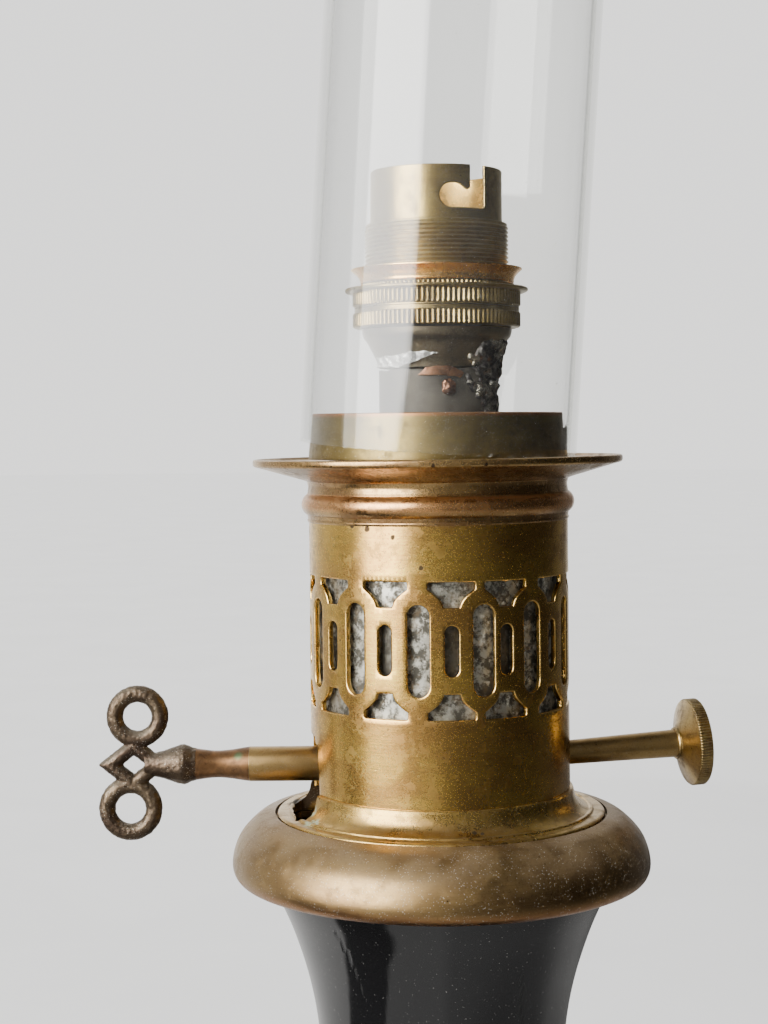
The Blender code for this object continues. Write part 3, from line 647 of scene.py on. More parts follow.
def wrapped_sheet(name, outer, holes, radius, thickness, bevel, pitch, ripple=0.0):
    """Bends a flat sheet round the lamp's axis. In the outlines x is the angle and y the height."""
    scale = math.radians(radius)
    flat = [[(angle * scale, z) for angle, z in loop] for loop in [outer, *holes]]
    bm = sheet_mesh(flat[0], flat[1:], thickness, bevel, pitch)
    worn = bm.verts.layers.float.new("edge")
    inside = bm.verts.layers.float.new("inside")
    flat_half = thickness / 2 * MM
    for vert in bm.verts:
        x, z, depth = vert.co.x / MM, vert.co.y / MM, vert.co.z
        vert[worn] = 1.0 if depth < flat_half * 0.985 else 0.0
        # The inner face is marked here; holder brass paints it with a brighter colour that stands in for
        # light.
        vert[inside] = 1.0 if depth < -flat_half * 0.6 else 0.0
        angle = x / scale
        reach = radius - thickness / 2 + depth / MM
        if ripple:
            reach += ripple * noise.noise(Vector(around(angle, 2.0, z * 0.08)))
        vert.co = Vector(around(angle, reach, z)) * MM
    return clean_mesh(name, bm)


def remeshed(name, parts, voxel, smooth_rounds, lumps=0.0, lump_scale=400.0):
    """Melts closed meshes into one cast-looking skin, with lumps in millimetres."""
    bm = bmesh.new()
    for part in parts:
        bm.from_mesh(part)
        bpy.data.meshes.remove(part)
    mesh = clean_mesh(name, bm)
    obj = linked(name, mesh)
    melt = obj.modifiers.new("melt", "REMESH")
    melt.mode = "VOXEL"
    melt.voxel_size = voxel * MM
    soften = obj.modifiers.new("soften", "SMOOTH")
    soften.iterations = smooth_rounds
    soften.factor = 0.5
    made = bpy.data.meshes.new_from_object(obj.evaluated_get(bpy.context.evaluated_depsgraph_get()))
    bpy.data.objects.remove(obj)
    bpy.data.meshes.remove(mesh)
    if lumps:
        for vert, normal in zip(made.vertices, [Vector(n.vector) for n in made.vertex_normals]):
            vert.co += normal * lumps * MM * noise.fractal(vert.co * lump_scale, 0.9, 2.1, 3)
    made.name = name
    return made


def ball(centre, radius, squash=(1, 1, 1)):
    bm = bmesh.new()
    place = Matrix.Translation(Vector(centre) * MM) @ Matrix.Diagonal((*squash, 1))
    bmesh.ops.create_icosphere(bm, subdivisions=3, radius=radius * MM, matrix=place)
    return clean_mesh("ball", bm)


def swept_mesh(name, points, radius, sides):
    """Round wire along a list of points, with closed ends."""
    path = [Vector(point) for point in points]
    normal = (path[1] - path[0]).orthogonal().normalized()
    grid = []
    for i, point in enumerate(path):
        tangent = (path[min(i + 1, len(path) - 1)] - path[max(i - 1, 0)]).normalized()
        normal = (normal - tangent * normal.dot(tangent)).normalized()
        side = tangent.cross(normal)
        reach = radius if 0 < i < len(path) - 1 else radius * 0.8
        grid.append([
            tuple(point + (normal * math.cos(TAU * k / sides) + side * math.sin(TAU * k / sides)) * reach)
            for k in range(sides)
        ])
    grid.insert(0, [tuple(path[0])] * sides)
    grid.append([tuple(path[-1])] * sides)
    return grid_mesh(name, grid, close_rows=False)


# Chimney


def chimney_matrix():
    axis = Vector((math.tan(LEAN_RIGHT), -math.tan(LEAN_FRONT), 1)).normalized()
    foot = Matrix.Translation((0, 0, CHIMNEY_FOOT_Z * MM))
    return foot @ axis.to_track_quat("Z", "Y").to_matrix().to_4x4()


def build_chimney():
    outer = 26.5
    inner = outer - GLASS_WALL
    length = 260.0
    rows = [0.0, 0.25, 0.6, 1.1, 1.8, 3.0, 6.0, 12.0] + [25.0 * k for k in range(1, 10)] + [length - 1.5]
    inside = [(inner, z) for z in rows]
    outside = [(outer, z) for z in reversed(rows)]
    rim = arc((outer + inner) / 2, length - 0.6, GLASS_WALL / 2, 180, 0, 6)
    outline = inside + rim + outside
    chip_height = 0.7

    def relief(angle, radius, z):
        streak = noise.noise(swirl(angle, 9, z * 0.004))
        broad = noise.noise(swirl(angle, 1.5, z * 0.02 + 7))
        radius += 0.028 * streak + 0.05 * broad
        if z < 2.0:
            rough = noise.fractal(swirl(angle, 40, 3.0), 0.8, 2.0, 3)
            z += max(0.0, 0.18 * rough + 0.04) * (1 - z / 2.0)
        return radius, z

    mesh = grid_mesh("glass_chimney", lathe_points(outline, 288, relief), matrix=chimney_matrix())
    undo = chimney_matrix().inverted()

    def chip(vert):
        x, y, z = undo @ vert.co / MM
        bite = noise.fractal(Vector((x * 0.9, y * 0.9, z)), 0.8, 2.0, 3)
        return max(0.0, 1 - z / chip_height) * min(1.0, max(0.0, 1.4 * bite - 0.45))

    def bore(vert):
        x, y, _ = undo @ vert.co / MM
        return 1.0 if math.hypot(x, y) < outer - GLASS_WALL / 2 else 0.0

    paint(mesh, "chip", chip)
    paint(mesh, "bore", bore)
    show("glass_chimney", mesh, glass_look(), "chimney", ["chimney"], 50)


# Gallery


def slot_outline(angle, width, height, per_degree):
    half = width / 2
    straight = height / 2 - half
    flat = arc(0, straight, half, 0, 180, 12) + arc(0, -straight, half, 180, 360, 12)
    return [(angle + x / per_degree, PATTERN_Z + y) for x, y in flat]


def punched(index):
    """Angle of a hole in the pattern, counted in half pitches: even for large slots, odd for small ones."""
    angle = LARGE_SLOT_ANGLE + 180 * index / REPEATS
    right = step(angle, 18, 30) * (1 - step(angle, 80, 140))
    left = step(angle, -150, -90) * (1 - step(angle, -50, 0))
    return angle - 3.4 * right - 2.2 * left


def kite_outline(angle, side, per_degree):
    """Opening above or below a small slot. Its flanks are hollowed by arcs round the large slots' ends."""
    flank = []
    for part in (i / 8 for i in range(9)):
        x = KITE_WIDE / 2 + (KITE_NARROW - KITE_WIDE) / 2 * part - 0.62 * math.sin(math.pi * part)
        flank.append((x, KITE_OUT - KITE_SIDE + (KITE_IN - KITE_OUT + KITE_SIDE) * part))
    flat = arc(KITE_WIDE / 2 - 0.3, KITE_OUT - 0.3, 0.3, 90, 0, 4) + flank
    flat += [(-x, y) for x, y in reversed(flat)]
    return [(angle + x / per_degree, PATTERN_Z + side * y) for x, y in flat]


def ragged(points, amount, seed, per=6):
    """Breaks a line of points into short steps with small random offsets."""
    draw = random.Random(seed)
    rough = []
    for (ax, ay), (bx, by) in zip(points, points[1:]):
        for k in range(per):
            t = k / per
            offset = draw.uniform(-amount, amount) if k else 0.0
            rough.append((ax + (bx - ax) * t + offset,
                          ay + (by - ay) * t + draw.uniform(-amount, amount) * 0.5))
    rough.append(points[-1])
    return rough


def build_gallery(brass, plate_brass):
    body = Span("gallery_body")
    wall_r, wall, step_z = 24.8, 1.1, 306.6
    per_degree = math.radians(wall_r)
    # The sheet is joined down the middle of the large slot at the back, so each end has half of it.
    first, last = -REPEATS - 1, REPEATS - 1
    left, right = punched(first), punched(last)
    notch_low, notch_high, notch_top = -99.5, -67.5, 317.3
    foot_z, head_z = step_z - 0.6, body.high + 0.9
    notch = ragged([
        (notch_low, foot_z), (notch_low + 1, notch_top - 2), (notch_low + 4, notch_top),
        (notch_high - 7, notch_top), (notch_high - 2, notch_top - 2.5), (notch_high, foot_z),
    ], 0.16, 3)
    right_slot, left_slot = (slot_outline(angle, *LARGE_SLOT, per_degree) for angle in (right, left))
    right_end = sorted((point for point in right_slot if point[0] < right - 0.3),
                       key=lambda point: point[1])
    left_end = sorted((point for point in left_slot if point[0] > left + 0.3), key=lambda point: -point[1])
    slot_half = LARGE_SLOT[1] / 2
    slot_low, slot_high = PATTERN_Z - slot_half, PATTERN_Z + slot_half
    gap = 0.1
    outer = [(left + gap, foot_z), *notch, (right, foot_z), (right, slot_low), *right_end,
             (right, slot_high), (right, head_z), (left + gap, head_z), (left + gap, slot_high), *left_end,
             (left + gap, slot_low)]
    holes = []
    for index in range(first + 1, last):
        small = index % 2
        holes.append(slot_outline(punched(index), *(SMALL_SLOT if small else LARGE_SLOT), per_degree))
        if small:
            holes += [kite_outline(punched(index), side, per_degree) for side in (1, -1)]
    shaft_angle = 90 + math.degrees(WICK_AZIMUTH)
    holes.append([(shaft_angle + x / per_degree, WICK_Z + y) for x, y in arc(0, 0, 2.85, 0, 345, 23)])
    mesh = wrapped_sheet("pierced_body", outer, holes, wall_r, wall, 0.28, 0.9, ripple=0.10)
    show("pierced_body", mesh, brass, "lamp", ["gallery_body"], 32)

    low, top, rim = body.low, body.low + 1.2, body.r + 0.25
    outline = filleted([
        (wall_r - 1.0, step_z + 0.3, 0), (wall_r + 0.45, step_z + 0.3, 0.15), (25.45, step_z - 0.1, 0.2),
        (25.75, 305.0, 0.9), (26.7, 303.5, 0.9), (28.3, 302.75, 0.5), (28.5, 302.95, 0.15),
        (29.0, 302.95, 0.15), (29.2, top, 0.2), (rim - 0.5, top, 0.3), (rim, low + 0.9, 0.3),
        (rim, low, 0.2), (19.8, low, 0.2), (19.8, top - 0.2, 0.2), (wall_r - 1.0, top - 0.2, 0.2),
    ], 0.2, 5)
    plate = lathe("flared_plate", outline, plate_brass, "lamp", steps=240,
                  relief=worn_relief(0.25, 11.0), smooth=34)
    cutter = linked("notch_tool", notch_tool(low, step_z))
    carve(plate, cutter)
    return cutter


def notch_tool(low, step_z):
    """Ragged prism of the key's slot where it runs out over the flared plate."""
    edge = ragged([(-21.5, -9.4), (-22.9, -9.7), (-24.2, -11.4), (-26.0, -12.3), (-27.4, -11.4),
                   (-27.6, -8.0), (-28.3, -3.0), (-28.2, 2.0), (-26.8, 4.2), (-21.5, 4.4), (-21.5, -9.4)],
                  0.2, 8, 5)[:-1]
    bm = bmesh.new()
    rings = [[bm.verts.new((x * MM, y * MM, z * MM)) for x, y in edge] for z in (low - 3, step_z + 3)]
    low_ring, high_ring = rings
    bm.faces.new(low_ring)
    bm.faces.new(high_ring)
    for i in range(len(edge)):
        j = (i + 1) % len(edge)
        bm.faces.new((low_ring[i], low_ring[j], high_ring[j], high_ring[i]))
    return clean_mesh("notch_tool", bm)


def carve(obj, cutter):
    """Cuts one object with another for good."""
    modifier = obj.modifiers.new("carve", "BOOLEAN")
    modifier.operation = "DIFFERENCE"
    modifier.object = cutter
    made = bpy.data.meshes.new_from_object(obj.evaluated_get(bpy.context.evaluated_depsgraph_get()))
    obj.modifiers.clear()
    obj.data = made
    made.set_sharp_from_angle(angle=math.radians(34))


def build_flange(brass, ring_brass):
    flange = Span("gallery_flange")
    low, top = flange.low, flange.high
    bead = arc(23.75, 361.1, 2.35, -58, 58, 14)
    neck = filleted([(23.5, low - 0.6, 0), (24.9, low - 0.55, 0.1), (25.05, low - 0.2, 0.15),
                     (24.95, low + 0.1, 0.1)], 0.1)
    outline = neck + bead + filleted([
        (24.9, 363.4, 0.25), (24.75, 364.5, 0.3), (25.0, 365.5, 0.2), (25.6, 365.75, 0.3),
        (33.9, 368.15, 1.2), (flange.r, 368.5, 0.5), (flange.r, 369.7, 0.45), (34.6, top, 0.35),
        (33.8, 369.25, 0.4), (23.5, 369.2, 0.3),
    ], 0.2, 5)
    bead_high = Matrix.Translation((0, 0, 0.3615))
    tilt = bead_high @ Matrix.Rotation(math.radians(-0.5), 4, "Y") @ bead_high.inverted()
    lathe("gallery_rim", outline, brass, "lamp", ["gallery_flange"], 240,
          worn_relief(0.22, 3.0), tilt, 30)
    ring = Span("chimney_seat_ring")
    outline = filleted([
        (ring.r - 0.6, ring.low, 0.1), (ring.r, ring.low, 0.2), (ring.r - 0.15, ring.low + 2, 1),
        (24.25, ring.high - 0.2, 0.2), (24.0, ring.high, 0.15), (23.6, ring.high - 0.2, 0.1),
    ], 0.1)
    lathe("seat_ring", outline, ring_brass, "lamp", ["chimney_seat_ring"],
          relief=worn_relief(0.18, 5.0), smooth=30)
    sleeve = Span("inner_sleeve")
    rows = [sleeve.low + (sleeve.high - sleeve.low) * k / 24 for k in range(25)]
    outline = [(sleeve.r - 0.6, z) for z in reversed(rows)] + [(sleeve.r - 0.1, z) for z in rows]
    small_slots = [punched(index) for index in range(-13, 12, 2)]

    def dented(angle, radius, z):
        return radius - 0.28 * abs(noise.noise(swirl(angle, 7, z * 0.28))), z

    # Painted shade on the tin: 1 behind each small slot, in a band round the pattern's height.
    def slot_shade(vert):
        angle = math.degrees(math.atan2(vert.co.x, -vert.co.y))
        apart = min(abs((angle - slot + 180) % 360 - 180) for slot in small_slots)
        return window(vert.co.z / MM, PATTERN_Z - 6, PATTERN_Z + 6, 1.0) * (1 - step(apart, 3.6, 5.0))

    sleeve = lathe("tin_sleeve", outline, tin_look(), "lamp", ["inner_sleeve"], 240, dented,
                   smooth=60)
    paint(sleeve.data, "slot_shade", slot_shade)


def build_collar(brass, cutter):
    collar = Span("collar")
    top, low, r = collar.high, collar.low, collar.r
    dome = spline([(32.15, top - 0.15), (34.6, 301.3), (36.7, 299.7), (38.5, 297.6), (39.5, 295.3),
                   (r, 293.2), (r - 0.15, 291.7), (39.1, 290.6), (38.0, low)], 6)
    outline = dome + filleted([
        (37.0, low + 0.3, 0.2), (37.5, 292.5, 0.4), (36.8, 295.8, 1.0), (33.8, 299.8, 0.4),
        (20.2, 299.8, 0.1), (20.2, 301.0, 0.1), (31.7, 301.0, 0.05), (31.7, top - 0.05, 0.05),
    ], 0.1)
    made = lathe("domed_collar", outline, brass, "lamp", ["collar"], 240,
                 worn_relief(0.18, 21.0), smooth=30)
    carve(made, cutter)
    bpy.data.objects.remove(cutter)


# Vase and foot


def build_vase():
    vase = Span("vase")
    waist_z, waist_r, bend = 252.7, 23.1, 0.0070

    def neck(z):
        return (waist_r + bend * (z - waist_z) ** 2, z)

    belly = [(47.6, vase.low), (49.2, vase.low + 2.5), (50.6, 54.0), (57.6, 88.0), (63.8, 122.0),
             (vase.r - 0.1, 148.0), (63.2, 174.0), (53.2, 197.0), (38.4, 216.0), (27.5, 231.0)]
    outside = spline([*belly, neck(243.0), neck(252.7), neck(262.0), neck(271.0), neck(280.0), neck(287.5),
                      (33.3, 292.0), (33.4, 296.8)], 8)
    inside = spline([(29.6, 296.8), (24.0, 280.0), (19.4, 262.0), (19.4, 248.0), (23.8, 233.0),
                     (47.5, 198.0), (60.5, 170.0), (62.4, 148.0), (53.5, 88.0), (43.0, 44.0),
                     (42.7, vase.low)], 5)
    mesh = grid_mesh("glazed_vase", lathe_points(outside + inside, 288, worn_relief(0.12, 31.0)))
    # Each crack wanders down the glaze from a start angle and height.
    cracks = [((-40.0, 285.5), (-33.5, 271.0)), ((29.0, 278.5), (34.5, 266.0)),
              ((34.5, 266.0), (36.0, 258.0))]

    def crack(vert):
        x, y, z = vert.co / MM
        angle = math.degrees(math.atan2(x, -y))
        wander = 0.8 * noise.noise(Vector((z * 0.45, 2.0, 0.0)))
        depth = 0.0
        for (top_angle, top_z), (low_angle, low_z) in cracks:
            if low_z < z < top_z and vert.normal.dot(Vector((x, y, 0))) > 0:
                middle = top_angle + (low_angle - top_angle) * (top_z - z) / (top_z - low_z) + wander
                depth = max(depth, 1 - abs(angle - middle) / 0.9)
        return depth

    paint(mesh, "crack", crack)
    show("glazed_vase", mesh, glaze_look(), "lamp", ["vase"], 40)


def build_foot(brass, felt, rubber):
    foot = Span("foot_shell")
    low, top, r = foot.low, foot.high, foot.r
    hem = spline([(r, low), (r, 12.6)], 3)
    fold = filleted([(r, 13.5, 0.5), (68.6, 13.8, 0.4), (67.9, 15.0, 0.4)], 0.3)
    slope = spline([(66.6, 15.6), (62.0, 18.2), (57.4, 22.4), (54.0, 27.6), (52.3, 33.0), (52.0, 34.6)], 6)
    rim = filleted([(53.2, 35.0, 0.3), (53.4, 36.8, 0.6), (52.6, top, 0.3), (4.5, top, 0),
                    (4.5, top - 2, 0), (50.4, top - 2, 0.5), (50.6, 32.8, 0.5), (52.8, 26.4, 1),
                    (58.5, 18.8, 1), (65.5, 14.5, 1), (r - 1.6, 12.5, 0.4), (r - 1.6, low, 0.2)], 0.3)
    lathe("spun_foot", hem + fold + slope + rim, brass, "lamp", ["foot_shell"], 288,
          worn_relief(0.12, 41.0), smooth=32)
    pad = Span("base_pad")
    outline = filleted([(0, pad.low, 0), (pad.r - 0.1, pad.low, 0.4), (pad.r, pad.high, 0.5),
                        (0, pad.high, 0)], 0.4)
    lathe("felt_pad", outline, felt, "lamp", ["base_pad"])
    bush = Span("cable_bush")
    outline = filleted([(2.6, 65.0, 0.2), (3.2, 65.0, 0.2), (3.2, 70.4, 0.1), (4.9, 70.4, 0.2),
                        (4.9, 71.2, 0.5), (4.2, bush.back, 0.4), (2.6, bush.back, 0.5)], 0.2)
    backwards = Matrix.Rotation(-math.pi / 2, 4, "X")
    out = Matrix.Translation((0, 0, (bush.low + bush.high) / 2 * MM)) @ backwards
    lathe("outlet_bush", outline, rubber, "lamp", ["cable_bush"], 48, matrix=out)


# Winding key


def build_key(cast, sleeve_brass):
    sleeve = Span("key_sleeve")
    key_z = (sleeve.low + sleeve.high) / 2
    along = Matrix.Translation((0, 0, key_z * MM)) @ Matrix.Rotation(math.pi / 2, 4, "Y")
    start = sleeve.left - 0.04
    neck = spline([(3.25, start), (3.1, start - 1.2), (2.78, start - 3.2), (2.56, start - 5.6),
                   (2.62, start - 7.4), (2.9, start - 9.6), (3.02, start - 10.4)], 5)
    shank = [(0.0, start)] + neck + [(3.02, start - 11.2), (0.0, start - 11.2)]
    copper = copper_look("key_copper", (0.22, 0.115, 0.05), (0.12, 0.068, 0.034), start)
    lathe("key_neck", shank[::-1], copper, "winding_key", steps=72, matrix=along)
    bulb = [(0.0, start - 10.0), (2.98, start - 10.0), (3.2, start - 11.0), (3.78, start - 12.4),
            (3.72, start - 13.2), (3.2, start - 14.8), (2.65, start - 16.4), (2.3, start - 18.0),
            (2.0, start - 20.0), (0.0, start - 20.0)]
    parts = [grid_mesh("bulb", lathe_points(bulb[::-1], 40), matrix=along)]
    ring_x, diamond_r, bar_wide, bar_deep = -58.5, 4.2, 2.15, 1.55
    section = [(diamond_r + bar_wide * math.cos(TAU * k / 14), bar_deep * math.sin(TAU * k / 14))
               for k in range(14)]
    flatter = Matrix.Diagonal((1.09, 1, 0.86, 1))
    place = Matrix.Translation(((ring_x - 0.3) * MM, 0, key_z * MM)) @ flatter @ TALL
    parts.append(grid_mesh("diamond", lathe_points(section, 4), matrix=place))
    wire = 1.62
    for height, radius, across in ((9.25, 4.35, 0.4), (-8.4, 4.5, -1.0)):
        loop = [(radius + wire * math.cos(TAU * k / 14), wire * math.sin(TAU * k / 14)) for k in range(14)]
        place = Matrix.Translation(Vector((ring_x + across, 0, key_z + height)) * MM) @ TALL
        parts.append(grid_mesh("loop", lathe_points(loop, 64), matrix=place))
    mesh = remeshed("cast_key", parts, 0.2, 2, 0.09, 1300.0)
    show("cast_key", mesh, cast, "winding_key", ["key_handle"], 60)
    outline = filleted([(2.0, sleeve.left, 0.1), (3.3, sleeve.left, 0.12), (3.3, sleeve.right, 0.2),
                        (2.0, sleeve.right, 0.1)], 0.2)
    lathe("key_socket", outline, sleeve_brass, "winding_key", ["key_sleeve"], 72,
          matrix=along)


# Wick knob


def wick_matrix():
    outwards = Vector((
        math.cos(WICK_AZIMUTH) * math.cos(WICK_RISE),
        math.sin(WICK_AZIMUTH) * math.cos(WICK_RISE),
        math.sin(WICK_RISE),
    ))
    level = Vector((math.sin(WICK_AZIMUTH), -math.cos(WICK_AZIMUTH), 0))
    placed = Matrix((level, outwards.cross(level), outwards)).transposed().to_4x4()
    axis_z = WICK_Z - 24.6 * math.tan(WICK_RISE)
    return Matrix.Translation((0, 0, axis_z * MM)) @ placed


def build_knob(knob_brass, shaft_brass):
    taper = [(2.3 + 0.38 * k / 8, 25.0 + 22.5 * k / 8) for k in range(1, 9)]
    shaft = [(0, 16.9), (2.3, 16.9), (2.3, 25.0), *taper, (2.85, 47.55), (2.85, 47.85), (0, 47.85)]
    lathe("knob_shaft", shaft, shaft_brass, "wick_knob", ["wick_shaft"], 64,
          matrix=wick_matrix())
    back = [(0, KNOB_FACE - 5.2), (3.0, KNOB_FACE - 5.2), (3.15, KNOB_FACE - 4.95), (3.0, KNOB_FACE - 4.7)]
    cone = spline([(3.1, KNOB_FACE - 4.6), (4.5, KNOB_FACE - 3.95), (6.2, KNOB_FACE - 3.3),
                   (7.8, KNOB_FACE - 2.75)], 4)
    rows = [KNOB_FACE - 2.35 + 2.0 * k / 7 for k in range(8)]
    rim = [(8.2, KNOB_FACE - 2.6)] + [(KNOB_R, z) for z in rows] + [(8.2, KNOB_FACE - 0.12)]
    face = spline([(7.8, KNOB_FACE - 0.02), (7.2, KNOB_FACE - 0.03), (6.8, KNOB_FACE - 0.35),
                   (5.6, KNOB_FACE - 0.5), (2.0, KNOB_FACE - 0.4), (0, KNOB_FACE - 0.4)], 4)
    relief = knurl(96, 0.36, [(KNOB_FACE - 2.4, KNOB_FACE - 0.3, KNOB_R - 0.1)])
    lathe("wick_knob_head", back + cone + rim + face, knob_brass, "wick_knob", ["wick_knob"],
          576, relief, wick_matrix(), 50)


# Lampholder


def hook_outline(angle, top, per_degree):
    """The bayonet slot's edge, from the left of its mouth round to the right of it, as (angle, height)."""
    near = ENTRY_NEAR * per_degree
    far = HOOK_FAR * per_degree
    end = ENTRY_END * per_degree
    floor = top - HOOK_DEEP
    leg_top = floor + HOOK_LEG
    half = HOOK_LEG / 2
    nib = arc(near - 0.62, leg_top - NIB + 0.6, 0.62, 0, -130, 8)
    lead = [(near - 2.0, leg_top - 0.3), (near - 2.5, leg_top - 0.06), (near - 3.0, leg_top)]
    round_end = arc(far + half, floor + half, half, 90, 270, 14)
    corner = arc(end - 0.5, floor + 0.5, 0.5, -90, 0, 5)
    flat = [(near, top)] + nib + lead + round_end + corner + [(end, top)]
    return [(angle + x / per_degree, z) for x, z in flat]


def build_barrel(brass):
    barrel = Span("lampholder_barrel")
    top, r, wall = barrel.high, 12.7, 0.65
    per_degree = math.radians(r)
    land = 413.9
    seam = 104.0
    first = hook_outline(0, top, per_degree)
    second = hook_outline(-180, top, per_degree)
    # The sheet runs from seam - 360 to seam, so the slot behind the front one is unrolled at -180.
    low_seam, high_seam = seam - 359.8, seam
    outer = [(low_seam, land), (high_seam, land), (high_seam, top), *first[::-1], *second[::-1],
             (low_seam, top)]
    mesh = wrapped_sheet("bayonet_barrel", outer, [], r, wall, 0.20, 0.6, ripple=0.05)
    show("bayonet_barrel", mesh, brass, "lamp", ["lampholder_barrel"], 34)

    pitch, depth, thread_r = 0.8, 0.42, barrel.r
    low, high = barrel.low, 414.15
    rows = int((high - low) / pitch * 10)
    outline = [(11.5, high), (11.5, low)]
    outline += [(thread_r, low + (high - low) * k / rows) for k in range(rows + 1)]
    outline += [(13.2, high + 0.12), (12.6, high + 0.2)]

    def thread(angle, radius, z):
        if radius < thread_r - 0.01:
            return radius, z
        phase = (z / pitch - angle / 360) % 1
        groove = 0.5 + 0.5 * math.cos(TAU * phase)
        run_out = min(1.0, max(0.0, (high - z) / 0.9))
        return radius - depth * groove * run_out - 0.25 * (1 - run_out), z

    lathe("barrel_thread", outline, brass, "lamp", steps=180, relief=thread, smooth=80)


def build_rings(brass, copper):
    plain_r, grip = 15.75, 16.05
    union = Span("union_ring")
    low, r = union.low, union.r
    zone = [low + 0.35 + 2.35 * k / 7 for k in range(8)]
    outline = [(14.2, low), (15.3, low), (15.8, low + 0.12), (r, low + 0.3)] + [(r, z) for z in zone] \
        + [(r - 0.1, 397.2), (plain_r, 397.35), (plain_r, 398.1), (14.2, 398.15)]
    relief = knurl(102, 0.28, [(low + 0.3, 397.12, r - 0.05)])
    lathe("union_ring_knurled", outline, brass, "lamp", ["union_ring"], 816, relief,
          smooth=50)

    ring = Span("clamp_ring")
    low, high, r = ring.low, ring.high, ring.r
    zone = [low + 0.25 + 2.3 * k / 7 for k in range(8)]
    crown = [(15.0, 402.05 + 0.55 * k / 3) for k in range(4)]
    outline = [(14.3, 398.2), (plain_r, 398.22), (plain_r, low - 0.02), (grip - 0.1, low + 0.1)]
    outline += [(grip, z) for z in zone]
    outline += [(grip - 0.05, 401.2), (16.6, 401.28), (r - 0.25, 401.3), (r, 401.5), (r, 401.8),
                (r - 0.25, 401.98), (16.0, 402.0), (15.05, 402.02), *crown, (14.3, high)]
    relief = knurl(102, 0.28, [(low + 0.2, 401.1, grip - 0.05), (402.04, 402.62, 14.9)])
    lathe("clamp_ring_knurled", outline, brass, "clamp_ring", ["clamp_ring"], 816, relief,
          smooth=50)

    flare = Span("shade_ring")
    low, r = flare.low, flare.r
    lip = [(14.3, low), (14.75, low), (14.82, 403.5), (15.0, 404.1), (15.45, 404.75), (16.05, 405.3),
           (r, 405.55)]
    back = [(r - 0.05, 405.72), (15.85, 405.6), (15.2, 405.1), (14.7, 404.5), (14.42, 403.9), (14.3, 403.5)]
    lathe("shade_ring_flared", spline(lip, 4) + spline(back, 4), copper, "shade_ring",
          ["shade_ring"], relief=worn_relief(0.12, 51.0), smooth=50)


def build_cap(brass, tube_tin):
    cap = Span("lampholder_cap")
    low, high = cap.low, cap.high
    dome = spline([(11.35, low), (11.6, low + 0.9), (12.2, low + 2.4), (13.2, low + 4.6),
                   (14.2, high - 1.4), (14.5, high)], 5)
    inner = spline([(13.6, high), (12.4, low + 4.4), (11.5, low + 2.4), (10.9, low + 0.9), (10.6, low)], 4)
    lathe("holder_cap", dome + inner, brass, "lamp", ["lampholder_cap"], 160,
          worn_relief(0.25, 61.0), smooth=40)
    tube = Span("burner_outer_tube")
    rows = [tube.low + (tube.high - tube.low) * k / 20 for k in range(21)]

    def torn(angle, radius, z):
        if z > tube.high - 0.5:
            z -= max(0.0, 0.5 * noise.noise(swirl(angle, 3, 9.0)) + 0.15)
        return radius + 0.06 * noise.noise(swirl(angle, 2, z * 0.1)), z

    outline = [(tube.r - 0.65, z) for z in reversed(rows)] + [(tube.r - 0.03, z) for z in rows]
    lathe("burner_tube", outline, tube_tin, "lamp", ["burner_outer_tube"], 120, torn,
          smooth=60)


